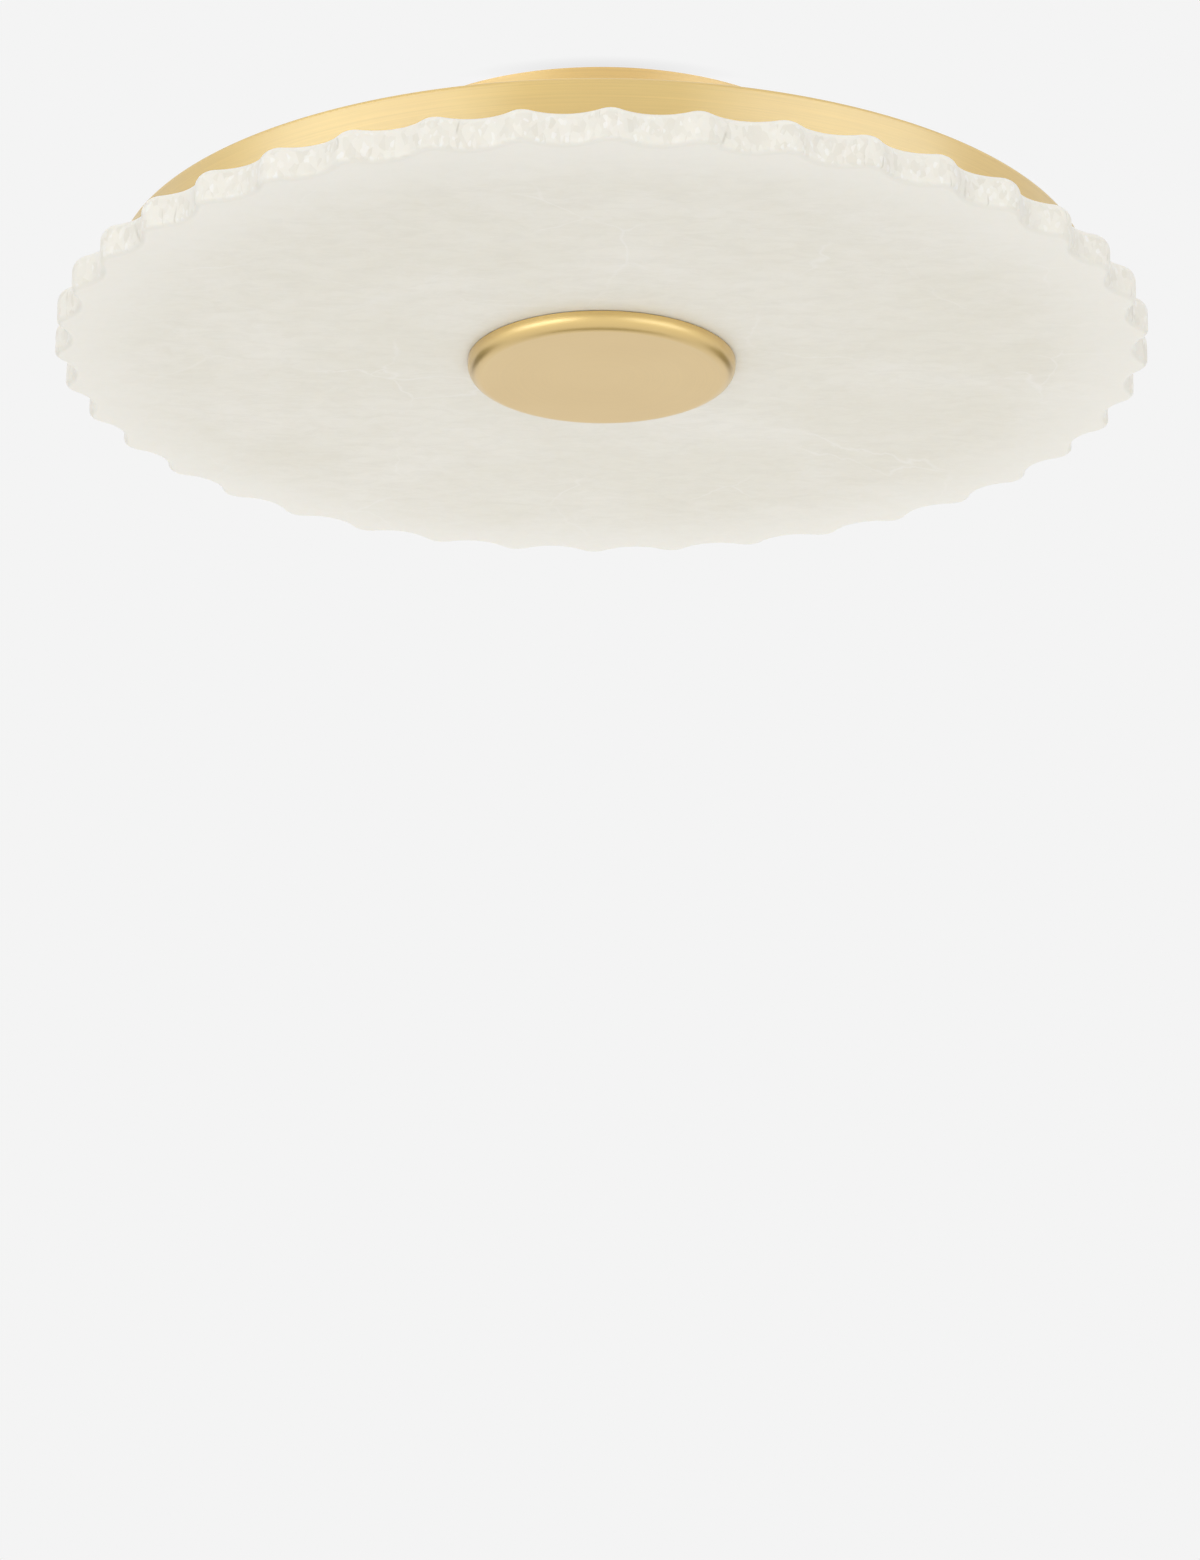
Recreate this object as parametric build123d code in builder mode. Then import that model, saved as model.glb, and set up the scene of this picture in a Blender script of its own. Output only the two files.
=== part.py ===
from build123d import *
from math import cos, pi, radians, sqrt
import os

# Flush mount ceiling light. A fluted alabaster disc hangs under a shallow brass pan and a round canopy.
# One hollow rod runs down the middle, and the cap screws onto its lower end and carries the disc.
# Millimetres, +Z up. The origin lies on the ceiling, at the middle of the crossbar's top face.

# Alabaster disc
disc_diameter = 457.2
disc_thickness = 15.9
flute_count = 40
flute_depth = 6.1
crest_radius = 9.4
rim_round_top = 6.5
rim_round_bottom = 2.5
flute_turn = 0.8  # degrees that the disc stands turned about its rod
disc_bore = 20.0

# Brass pan, canopy and cap
pan_diameter = 406.4
pan_height = 20.4
pan_sheet = 1.2
pan_bend = 1.5
pan_lip = 9.0
canopy_diameter = 190.5
canopy_height = 53.5
canopy_sheet = 1.2
canopy_bend = 3.0
cap_diameter = 112.0
cap_height = 7.2
cap_sheet = 1.0
cap_round = 5.6

# Crossbar, which two screws hold to the junction box
crossbar_length = 125.0
crossbar_width = 20.0
crossbar_sheet = 2.0
crossbar_flange = 5.0
crossbar_corner = 4.0
box_slot_spacing = 79.4
box_slot_length = 14.6
box_slot_width = 4.8
crossbar_middle_hole = 10.4
ground_screw_offset = 19.0
ground_screw_diameter = 4.8
ground_head_diameter = 9.0
ground_head_height = 2.8

# Studs from the crossbar down through the canopy and the pan
stud_spacing = 111.0
stud_diameter = 4.2
stud_recess = 0.3
stud_tail = 4.0
lock_nut_flats = 8.7
lock_nut_height = 3.2
stud_washer_diameter = 12.0
stud_washer_height = 1.0
thumb_nut_diameter = 15.0
thumb_nut_height = 7.0
thumb_nut_collar = 10.0
thumb_nut_collar_height = 2.0
thumb_nut_ridges = 20
thumb_nut_ridge_depth = 0.7

# Hollow rod with a fine thread
rod_diameter = 10.0
rod_bore = 6.5
rod_top_length = 8.0  # how far the rod stands up from the canopy's floor
rod_nut_flats = 14.0
rod_nut_height = 5.0
rod_washer_diameter = 20.0
rod_washer_height = 1.0
backing_diameter = 60.0
backing_height = 2.0
gasket_height = 1.5
bush_length = 7.5
bush_bore_play = 0.2
rod_chamfer = 0.6

# Cap hub, which carries the thread that holds the stone up
spigot_diameter = 16.0
spigot_length = 8.5
hub_flange_diameter = 48.0
hub_flange_height = 2.0
hub_boss_diameter = 24.0
hub_chamfer = 0.8
cap_gasket_diameter = 44.0
thread_length = 8.0  # of the rod in the hub

# Screws that clamp the driver, canopy, pan and reflector together
clamp_screw_x = 62.0
clamp_screw_y = 45.0
clamp_screw_diameter = 4.0
clamp_head_diameter = 8.0
clamp_head_height = 2.6
clamp_nut_flats = 7.0
clamp_nut_height = 3.2
clamp_screw_tail = 1.5

# Light engine
reflector_gap = 10.0  # from the reflector's rim to the inside of the pan's wall
reflector_opening = 136.0
reflector_sheet = 1.5
board_inner_diameter = 168.0
board_outer_diameter = 336.0
board_thickness = 1.6
pad_margin = 2.0  # from the board's edges
pad_thickness = 0.5
chip_length = 3.5
chip_width = 2.8
chip_height = 0.7
chip_ring_radii = (108.0, 132.0, 156.0)
chip_ring_counts = (18, 24, 30)
board_screw_count = 6
board_screw_radius = 120.0
board_screw_diameter = 3.0
board_head_diameter = 5.6
board_head_height = 1.8
connector_length = 9.0
connector_width = 7.0
connector_height = 4.0
connector_margin = 3.0  # from the board's inner edge
connector_entry = 2.2
connector_entry_depth = 2.5
connector_chamfer = 0.4

# Driver
driver_length = 112.0
driver_width = 42.0
driver_height = 22.5
driver_wall = 1.6
driver_corner = 3.0
driver_lid_height = 1.5
driver_lid_rebate = 1.0
driver_y = 45.0
ear_reach = 13.0
ear_width = 16.0
ear_height = 2.5
circuit_foot_diameter = 4.0
circuit_foot_spacing = (90.0, 25.0)
circuit_lift = 4.0
circuit_thickness = 1.6
transformer_length = 22.0
transformer_width = 18.0
transformer_height = 11.0
transformer_x = 12.0
transformer_chamfer = 1.5
capacitor_diameter = 9.0
capacitor_height = 11.0
capacitor_x = -24.0
capacitor_pitch = 14.0
capacitor_chamfer = 0.8
terminal_length = 22.0
terminal_depth = 11.0
terminal_height = 12.0
terminal_x = -31.0
terminal_lift = 3.0
terminal_entries = 3
terminal_pitch = 6.4
terminal_entry = 3.0
terminal_entry_depth = 8.0
terminal_chamfer = 0.6

# Leads from the driver to the board, and the grommet that they pass
lead_diameter = 1.8
lead_spacing = 2.6
lead_height = 6.3  # of the leads above the canopy's floor where they leave the driver
lead_angle = -45.0
lead_bend_share = 0.45  # of the drop from the driver to the connector
grommet_radius_out = 50.0
grommet_hole = 10.0
grommet_flange = 14.0
grommet_flange_height = 1.3
grommet_bore = 7.0

# Bumpers on the pan's lip, against the stone
bumper_count = 6
bumper_diameter = 7.0
bumper_height = 1.5
bumper_chamfer = 0.5

# Clearances
thread_play = 0.05
hole_play = 0.3
seat_play = 0.05
cap_rim_play = 0.2
entry_play = 0.15

# Heights, from the ceiling down
canopy_floor = -canopy_height + canopy_sheet
pan_top = -canopy_height
pan_plate = pan_top - pan_sheet
pan_bottom = pan_top - pan_height
disc_top = pan_bottom - bumper_height
disc_bottom = disc_top - disc_thickness
cap_rim = disc_bottom - cap_rim_play
cap_bottom = cap_rim - cap_height
cap_floor = cap_bottom + cap_sheet
reflector_face = pan_plate - reflector_sheet
pad_face = reflector_face - pad_thickness
board_face = pad_face - board_thickness
gasket_top = disc_top + gasket_height
backing_top = gasket_top + backing_height
cap_gasket_bottom = disc_bottom - gasket_height
rod_top = canopy_floor + rod_top_length
rod_bottom = cap_gasket_bottom + spigot_length - thread_length
ear_top = canopy_floor + ear_height
driver_top = canopy_floor + driver_height

# Radii that several pieces share
rod_radius = rod_diameter / 2
threaded_radius = rod_radius + thread_play
reflector_radius = pan_diameter / 2 - pan_sheet - reflector_gap
stud_places = [(stud_spacing / 2, 0), (-stud_spacing / 2, 0)]
clamp_places = [(x, y) for x in (clamp_screw_x, -clamp_screw_x) for y in (clamp_screw_y, -clamp_screw_y)]
along = Vector(1, 0).rotate(Axis.Z, lead_angle)
across = Vector(0, 1).rotate(Axis.Z, lead_angle)
grommet_place = along * grommet_radius_out
lead_offsets = (lead_spacing / 2, -lead_spacing / 2)

os.makedirs("parts", exist_ok=True)


def keep(piece, name):
    """Labels a finished piece and writes its STEP file."""
    piece.part.label = name
    export_step(piece.part, f"parts/{name}.step")


def hex_nut(flats, height, bore_radius):
    """A hex nut standing on z = 0, with the corners of both faces turned off."""
    with BuildPart() as nut:
        with BuildSketch():
            RegularPolygon(flats / 2, 6, major_radius=False)
        extrude(amount=height)
        with BuildSketch(Plane.XZ) as turned:
            corner = flats / sqrt(3)
            bevel = corner - flats / 2
            with BuildLine():
                Polyline(
                    (0, 0),
                    (flats / 2, 0),
                    (corner, bevel / 2),
                    (corner, height - bevel / 2),
                    (flats / 2, height),
                    (0, height),
                    close=True,
                )
            make_face()
        revolve(axis=Axis.Z, mode=Mode.INTERSECT)
        Hole(bore_radius)
    return nut.part


def screw(shank_diameter, length, head_diameter, head_height):
    """A pan head screw, head down, with its shank standing up from z = 0."""
    with BuildPart() as made:
        Cylinder(head_diameter / 2, head_height, align=(Align.CENTER, Align.CENTER, Align.MAX))
        chamfer(made.faces().sort_by(Axis.Z)[0].edges(), head_height / 3)
        Cylinder(shank_diameter / 2, length, align=(Align.CENTER, Align.CENTER, Align.MIN))
    return made.part


def ring(outer_diameter, inner_radius, height):
    """A flat ring standing on z = 0."""
    with BuildPart() as made:
        with BuildSketch():
            Circle(outer_diameter / 2)
            Circle(inner_radius, mode=Mode.SUBTRACT)
        extrude(amount=height)
    return made.part


# Crossbar: a steel channel with its open side down
with BuildPart() as mounting_crossbar:
    with BuildSketch():
        Rectangle(crossbar_length, crossbar_width)
    extrude(amount=-crossbar_flange)
    fillet(mounting_crossbar.edges().filter_by(Axis.Z), crossbar_corner)
    with BuildSketch(Plane.XY.offset(-crossbar_sheet)):
        Rectangle(crossbar_length + 2 * crossbar_corner, crossbar_width - 2 * crossbar_sheet)
    extrude(amount=-crossbar_flange, mode=Mode.SUBTRACT)
    with BuildSketch():
        with GridLocations(box_slot_spacing, 0, 2, 1):
            SlotOverall(box_slot_length, box_slot_width)
    extrude(amount=-crossbar_sheet, mode=Mode.SUBTRACT)
    with Locations(*stud_places):
        Hole(stud_diameter / 2 + thread_play)
    Hole(crossbar_middle_hole / 2)
    with Locations((ground_screw_offset, 0)):
        Hole(ground_screw_diameter / 2 + thread_play)
keep(mounting_crossbar, "mounting_crossbar")

# Ground screw, head down under the crossbar
ground_screw_solid = screw(
    ground_screw_diameter,
    crossbar_sheet - stud_recess,
    ground_head_diameter,
    ground_head_height,
)
with BuildPart() as ground_screw:
    with Locations((ground_screw_offset, 0, -crossbar_sheet)):
        add(ground_screw_solid)
keep(ground_screw, "ground_screw")

# Two long studs, each locked under the crossbar and ending inside the pan
stud_bottom = pan_plate - stud_washer_height - thumb_nut_height - stud_tail
with BuildPart() as crossbar_studs:
    with BuildSketch(Plane.XY.offset(-stud_recess)):
        with Locations(*stud_places):
            Circle(stud_diameter / 2)
    extrude(amount=stud_bottom + stud_recess)
    chamfer(crossbar_studs.faces().filter_by(Axis.Z).edges(), stud_diameter / 10)
keep(crossbar_studs, "crossbar_studs")

lock_nut = hex_nut(lock_nut_flats, lock_nut_height, stud_diameter / 2 + thread_play)
with BuildPart() as stud_lock_nuts:
    with Locations(*[(x, y, -crossbar_sheet - lock_nut_height) for x, y in stud_places]):
        add(lock_nut)
keep(stud_lock_nuts, "stud_lock_nuts")

# Canopy: a spun cup, open to the ceiling
with BuildPart() as canopy:
    with BuildSketch():
        Circle(canopy_diameter / 2)
    extrude(amount=-canopy_height)
    fillet(canopy.faces().sort_by(Axis.Z)[0].edges(), canopy_bend)
    offset(amount=-canopy_sheet, openings=canopy.faces().sort_by(Axis.Z)[-1])
    Hole(rod_radius + hole_play)
    with Locations(*stud_places):
        Hole(stud_diameter / 2 + hole_play)
    with Locations(*clamp_places):
        Hole(clamp_screw_diameter / 2 + hole_play)
    with Locations(grommet_place):
        Hole(grommet_hole / 2)
keep(canopy, "canopy")

# Pan: a shallow spun drum with a lip turned in along its lower rim
with BuildPart() as pan:
    with BuildSketch(Plane.XZ) as pan_section:
        with BuildLine():
            Polyline(
                (0, pan_top),
                (pan_diameter / 2, pan_top),
                (pan_diameter / 2, pan_bottom),
                (pan_diameter / 2 - pan_lip, pan_bottom),
                (pan_diameter / 2 - pan_lip, pan_bottom + pan_sheet),
                (pan_diameter / 2 - pan_sheet, pan_bottom + pan_sheet),
                (pan_diameter / 2 - pan_sheet, pan_plate),
                (0, pan_plate),
                close=True,
            )
        make_face()
        fillet(pan_section.vertices().group_by(Axis.X)[-1], pan_bend)
    revolve(axis=Axis.Z)
    Hole(rod_radius + hole_play)
    with Locations(*stud_places):
        Hole(stud_diameter / 2 + hole_play)
    with Locations(*clamp_places):
        Hole(clamp_screw_diameter / 2 + hole_play)
    with Locations(grommet_place):
        Hole(grommet_hole / 2)
keep(pan, "pan")

# Soft bumpers stuck along the lip
bumper_radius_out = pan_diameter / 2 - pan_lip / 2
with BuildPart() as disc_bumpers:
    with BuildSketch(Plane.XY.offset(pan_bottom)):
        with PolarLocations(bumper_radius_out, bumper_count, start_angle=360 / bumper_count / 2):
            Circle(bumper_diameter / 2)
    extrude(amount=-bumper_height)
    chamfer(disc_bumpers.faces().sort_by(Axis.Z)[0:bumper_count].edges(), bumper_chamfer)
keep(disc_bumpers, "disc_bumpers")

# Washers and knurled nuts on the studs, under the pan's plate
stud_washer = ring(stud_washer_diameter, stud_diameter / 2 + hole_play, stud_washer_height)
with BuildPart() as stud_washers:
    with Locations(*[(x, y, pan_plate - stud_washer_height) for x, y in stud_places]):
        add(stud_washer)
keep(stud_washers, "stud_washers")

with BuildPart() as thumb_nut:
    with BuildSketch():
        Circle(thumb_nut_diameter / 2)
        with PolarLocations(thumb_nut_diameter / 2, thumb_nut_ridges):
            RegularPolygon(thumb_nut_ridge_depth, 4, mode=Mode.SUBTRACT)
    extrude(amount=thumb_nut_height - thumb_nut_collar_height)
    with BuildSketch(Plane.XY.offset(thumb_nut_height - thumb_nut_collar_height)):
        Circle(thumb_nut_collar / 2)
    extrude(amount=thumb_nut_collar_height)
    Hole(stud_diameter / 2 + thread_play)
thumb_nut_bottom = pan_plate - stud_washer_height - thumb_nut_height
with BuildPart() as thumb_nuts:
    with Locations(*[(x, y, thumb_nut_bottom) for x, y in stud_places]):
        add(thumb_nut.part)
keep(thumb_nuts, "thumb_nuts")

# Hollow rod, and the nuts that clamp the canopy's floor to the pan's plate
with BuildPart() as center_rod:
    with BuildSketch(Plane.XY.offset(rod_bottom)):
        Circle(rod_radius)
        Circle(rod_bore / 2, mode=Mode.SUBTRACT)
    extrude(amount=rod_top - rod_bottom)
    chamfer(center_rod.edges().filter_by(GeomType.CIRCLE).group_by(SortBy.RADIUS)[-1], rod_chamfer)
keep(center_rod, "center_rod")

rod_nut = hex_nut(rod_nut_flats, rod_nut_height, threaded_radius)
rod_washer = ring(rod_washer_diameter, rod_radius + hole_play, rod_washer_height)
with BuildPart() as rod_top_washer:
    with Locations((0, 0, canopy_floor)):
        add(rod_washer)
keep(rod_top_washer, "rod_top_washer")
with BuildPart() as rod_top_nut:
    with Locations((0, 0, canopy_floor + rod_washer_height)):
        add(rod_nut)
keep(rod_top_nut, "rod_top_nut")
with BuildPart() as rod_clamp_washer:
    with Locations((0, 0, pan_plate - rod_washer_height)):
        add(rod_washer)
keep(rod_clamp_washer, "rod_clamp_washer")
with BuildPart() as rod_clamp_nut:
    with Locations((0, 0, pan_plate - rod_washer_height - rod_nut_height)):
        add(rod_nut)
keep(rod_clamp_nut, "rod_clamp_nut")

# Nut, steel washer and soft gasket that the stone is drawn up against
with BuildPart() as height_nut:
    with Locations((0, 0, backing_top)):
        add(rod_nut)
keep(height_nut, "height_nut")
backing_ring = ring(backing_diameter, rod_radius + hole_play, backing_height)
with BuildPart() as backing_washer:
    with Locations((0, 0, gasket_top)):
        add(backing_ring)
    fillet(backing_washer.faces().sort_by(Axis.Z)[-1].outer_wire().edges(), backing_height / 4)
keep(backing_washer, "backing_washer")
upper_ring = ring(backing_diameter, rod_radius + hole_play, gasket_height)
with BuildPart() as upper_gasket:
    with Locations((0, 0, disc_top)):
        add(upper_ring)
keep(upper_gasket, "upper_gasket")

# Alabaster disc. Each flute is one hollow arc, and one rounded crest arc joins it to the next.
disc_radius = disc_diameter / 2
half_pitch = 180 / flute_count
crest_center_out = disc_radius - crest_radius
valley_out = disc_radius - flute_depth
flute_radius = (
    crest_radius**2
    - crest_center_out**2
    - valley_out**2
    + 2 * crest_center_out * valley_out * cos(radians(half_pitch))
) / (2 * (valley_out - crest_center_out * cos(radians(half_pitch)) - crest_radius))
crest_center = Vector(crest_center_out, 0)
flute_center = Vector(valley_out + flute_radius, 0).rotate(Axis.Z, half_pitch)
meeting_point = crest_center + (flute_center - crest_center).normalized() * crest_radius
mirrored_point = Vector(meeting_point.X, -meeting_point.Y)
with BuildPart() as alabaster_disc:
    with BuildSketch(Plane.XY.offset(disc_bottom)):
        with BuildLine():
            for flute in range(flute_count):
                turn = flute_turn - 90 + flute * 2 * half_pitch
                crest_end = meeting_point.rotate(Axis.Z, turn)
                ThreePointArc(
                    mirrored_point.rotate(Axis.Z, turn),
                    Vector(disc_radius, 0).rotate(Axis.Z, turn),
                    crest_end,
                )
                ThreePointArc(
                    crest_end,
                    Vector(valley_out, 0).rotate(Axis.Z, turn + half_pitch),
                    mirrored_point.rotate(Axis.Z, turn + 2 * half_pitch),
                )
        make_face()
    extrude(amount=disc_thickness)
    fillet(alabaster_disc.faces().sort_by(Axis.Z)[-1].edges(), rim_round_top)
    fillet(alabaster_disc.faces().sort_by(Axis.Z)[0].edges(), rim_round_bottom)
    Hole(disc_bore / 2)
keep(alabaster_disc, "alabaster_disc")

# Nylon bush in the upper half of the stone's bore
bush_ring = ring(disc_bore - 2 * seat_play, rod_radius + bush_bore_play, bush_length)
with BuildPart() as centering_bush:
    with Locations((0, 0, disc_top - bush_length)):
        add(bush_ring)
keep(centering_bush, "centering_bush")

# Gasket between the stone and the hub's flange
lower_ring = ring(cap_gasket_diameter, spigot_diameter / 2 + hole_play, gasket_height)
with BuildPart() as cap_gasket:
    with Locations((0, 0, cap_gasket_bottom)):
        add(lower_ring)
keep(cap_gasket, "cap_gasket")

# Cap: a spun dish, with a turned hub soldered inside it
with BuildPart() as cap_shell:
    with BuildSketch(Plane.XY.offset(cap_rim)):
        Circle(cap_diameter / 2)
    extrude(amount=-cap_height)
    fillet(cap_shell.faces().sort_by(Axis.Z)[0].edges(), cap_round)
    offset(amount=-cap_sheet, openings=cap_shell.faces().sort_by(Axis.Z)[-1])
keep(cap_shell, "cap_shell")

hub_flange_bottom = cap_gasket_bottom - hub_flange_height
with BuildPart() as cap_hub:
    with BuildSketch(Plane.XZ):
        with BuildLine():
            Polyline(
                (threaded_radius, cap_floor),
                (hub_boss_diameter / 2, cap_floor),
                (hub_boss_diameter / 2, hub_flange_bottom),
                (hub_flange_diameter / 2, hub_flange_bottom),
                (hub_flange_diameter / 2, cap_gasket_bottom),
                (spigot_diameter / 2, cap_gasket_bottom),
                (spigot_diameter / 2, cap_gasket_bottom + spigot_length),
                (threaded_radius, cap_gasket_bottom + spigot_length),
                close=True,
            )
        make_face()
    revolve(axis=Axis.Z)
    chamfer(cap_hub.faces().sort_by(Axis.Z)[-1].outer_wire().edges(), hub_chamfer)
keep(cap_hub, "cap_hub")

# Reflector, thermal pad and board, stacked under the pan's plate
with BuildPart() as reflector_plate:
    with BuildSketch(Plane.XY.offset(pan_plate)):
        Circle(reflector_radius)
        Circle(reflector_opening / 2, mode=Mode.SUBTRACT)
        with Locations(*clamp_places):
            Circle(clamp_screw_diameter / 2 + hole_play, mode=Mode.SUBTRACT)
        with PolarLocations(board_screw_radius, board_screw_count):
            Circle(board_screw_diameter / 2 + thread_play, mode=Mode.SUBTRACT)
    extrude(amount=-reflector_sheet)
keep(reflector_plate, "reflector_plate")

with BuildPart() as thermal_pad:
    with BuildSketch(Plane.XY.offset(reflector_face)):
        Circle(board_outer_diameter / 2 - pad_margin)
        Circle(board_inner_diameter / 2 + pad_margin, mode=Mode.SUBTRACT)
        with PolarLocations(board_screw_radius, board_screw_count):
            Circle(board_screw_diameter / 2 + hole_play, mode=Mode.SUBTRACT)
    extrude(amount=-pad_thickness)
keep(thermal_pad, "thermal_pad")

with BuildPart() as led_board:
    with BuildSketch(Plane.XY.offset(pad_face)):
        Circle(board_outer_diameter / 2)
        Circle(board_inner_diameter / 2, mode=Mode.SUBTRACT)
        with PolarLocations(board_screw_radius, board_screw_count):
            Circle(board_screw_diameter / 2 + hole_play, mode=Mode.SUBTRACT)
    extrude(amount=-board_thickness)
keep(led_board, "led_board")

with BuildPart() as led_chips:
    with BuildSketch(Plane.XY.offset(board_face)):
        for chip_ring_radius, chip_count in zip(chip_ring_radii, chip_ring_counts):
            with PolarLocations(chip_ring_radius, chip_count, start_angle=180 / chip_count):
                Rectangle(chip_width, chip_length)
    extrude(amount=-chip_height)
keep(led_chips, "led_chips")

board_screw = screw(
    board_screw_diameter,
    pan_plate - board_face - entry_play,
    board_head_diameter,
    board_head_height,
)
with BuildPart() as board_screws:
    with Locations(Location((0, 0, board_face))):
        with PolarLocations(board_screw_radius, board_screw_count):
            add(board_screw)
keep(board_screws, "board_screws")

# Connector on the board's inner edge, with an entry for each lead
connector_out = board_inner_diameter / 2 + connector_margin
lead_low = board_face - connector_height / 2
with BuildPart() as board_connector:
    with Locations(Location((0, 0, board_face), (0, 0, lead_angle))):
        with Locations((connector_out + connector_length / 2, 0, 0)):
            Box(
                connector_length,
                connector_width,
                connector_height,
                align=(Align.CENTER, Align.CENTER, Align.MAX),
            )
    chamfer(board_connector.faces().sort_by(Axis.Z)[0].edges(), connector_chamfer)
    inner_end = along * connector_out + Vector(0, 0, lead_low)
    with BuildSketch(Plane(origin=inner_end, x_dir=across, z_dir=along)):
        with Locations(*[(side, 0) for side in lead_offsets]):
            Circle(connector_entry / 2)
    extrude(amount=connector_entry_depth, mode=Mode.SUBTRACT)
keep(board_connector, "board_connector")

# Clamp screws and their nuts: two nuts sit on the driver's ears, and two on the canopy's floor
clamp_screw = screw(
    clamp_screw_diameter,
    ear_top + clamp_nut_height + clamp_screw_tail - reflector_face,
    clamp_head_diameter,
    clamp_head_height,
)
with BuildPart() as clamp_screws:
    with Locations(*[(x, y, reflector_face) for x, y in clamp_places]):
        add(clamp_screw)
keep(clamp_screws, "clamp_screws")

clamp_nut = hex_nut(clamp_nut_flats, clamp_nut_height, clamp_screw_diameter / 2 + thread_play)
with BuildPart() as clamp_nuts:
    with Locations(*[(x, y, ear_top if y > 0 else canopy_floor) for x, y in clamp_places]):
        add(clamp_nut)
keep(clamp_nuts, "clamp_nuts")

# Driver: a plastic tray with an ear at each end, a lid, and the circuit inside
driver_front = driver_y - driver_width / 2
lead_start_height = canopy_floor + lead_height
with BuildPart() as driver_case:
    with BuildSketch(Plane.XY.offset(canopy_floor)):
        with Locations((0, driver_y)):
            RectangleRounded(driver_length, driver_width, driver_corner)
    extrude(amount=driver_height)
    with BuildSketch(Plane.XY.offset(canopy_floor + driver_wall)):
        with Locations((0, driver_y)):
            RectangleRounded(
                driver_length - 2 * driver_wall,
                driver_width - 2 * driver_wall,
                driver_corner - driver_wall,
            )
    extrude(amount=driver_height, mode=Mode.SUBTRACT)
    with BuildSketch(Plane.XY.offset(canopy_floor)):
        for side in (1, -1):
            with Locations((side * (driver_length / 2 + ear_reach / 2 - driver_wall / 2), driver_y)):
                Rectangle(ear_reach + driver_wall, ear_width)
    extrude(amount=ear_height)
    ear_corners = driver_case.edges().filter_by(Axis.Z).group_by(Axis.X)
    fillet(ear_corners[0] + ear_corners[-1], ear_width / 5)
    with Locations((clamp_screw_x, clamp_screw_y), (-clamp_screw_x, clamp_screw_y)):
        Hole(clamp_screw_diameter / 2 + hole_play)
    with BuildSketch(Plane.XZ.offset(-driver_front)):
        with Locations(*[((grommet_place + across * side).X, lead_start_height) for side in lead_offsets]):
            Circle(lead_diameter / 2 + entry_play)
    extrude(amount=-driver_wall, mode=Mode.SUBTRACT)
keep(driver_case, "driver_case")

with BuildPart() as driver_lid:
    with BuildSketch(Plane.XY.offset(driver_top)):
        with Locations((0, driver_y)):
            RectangleRounded(driver_length, driver_width, driver_corner)
    extrude(amount=driver_lid_height)
    fillet(driver_lid.faces().sort_by(Axis.Z)[-1].edges(), driver_lid_height / 2)
    with BuildSketch(Plane.XY.offset(driver_top)):
        with Locations((0, driver_y)):
            RectangleRounded(
                driver_length - 2 * driver_wall - 2 * entry_play,
                driver_width - 2 * driver_wall - 2 * entry_play,
                driver_corner - driver_wall,
            )
    extrude(amount=-driver_lid_rebate)
keep(driver_lid, "driver_lid")

circuit_bottom = canopy_floor + driver_wall + circuit_lift
circuit_top = circuit_bottom + circuit_thickness
with BuildPart() as driver_circuit:
    with BuildSketch(Plane.XY.offset(circuit_bottom)):
        with Locations((0, driver_y)):
            RectangleRounded(
                driver_length - 2 * driver_wall - 2 * entry_play,
                driver_width - 2 * driver_wall - 2 * entry_play,
                driver_corner - driver_wall,
            )
    extrude(amount=circuit_thickness)
    with BuildSketch(Plane.XY.offset(canopy_floor + driver_wall)):
        with Locations((0, driver_y)):
            with GridLocations(*circuit_foot_spacing, 2, 2):
                Circle(circuit_foot_diameter / 2)
    extrude(amount=circuit_lift)
keep(driver_circuit, "driver_circuit")

with BuildPart() as driver_transformer:
    with BuildSketch(Plane.XY.offset(circuit_top)):
        with Locations((transformer_x, driver_y)):
            Rectangle(transformer_length, transformer_width)
    extrude(amount=transformer_height)
    chamfer(driver_transformer.edges().filter_by(Axis.Z), transformer_chamfer)
keep(driver_transformer, "driver_transformer")

with BuildPart() as driver_capacitors:
    with BuildSketch(Plane.XY.offset(circuit_top)):
        with Locations((capacitor_x, driver_y)):
            with GridLocations(capacitor_pitch, 0, 2, 1):
                Circle(capacitor_diameter / 2)
    extrude(amount=capacitor_height)
    chamfer(driver_capacitors.faces().filter_by(Axis.Z).group_by(Axis.Z)[-1].edges(), capacitor_chamfer)
keep(driver_capacitors, "driver_capacitors")

# Terminal block on the driver's front, for the house wires
with BuildPart() as mains_terminal_block:
    with Locations((terminal_x, driver_front, canopy_floor + terminal_lift)):
        Box(
            terminal_length,
            terminal_depth,
            terminal_height,
            align=(Align.CENTER, Align.MAX, Align.MIN),
        )
    chamfer(mains_terminal_block.faces().sort_by(Axis.Y)[0].edges(), terminal_chamfer)
    with BuildSketch(Plane.XZ.offset(terminal_depth - driver_front)):
        with Locations((terminal_x, canopy_floor + terminal_lift + terminal_height / 2)):
            with GridLocations(terminal_pitch, 0, terminal_entries, 1):
                Circle(terminal_entry / 2)
    extrude(amount=-terminal_entry_depth, mode=Mode.SUBTRACT)
keep(mains_terminal_block, "mains_terminal_block")

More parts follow.
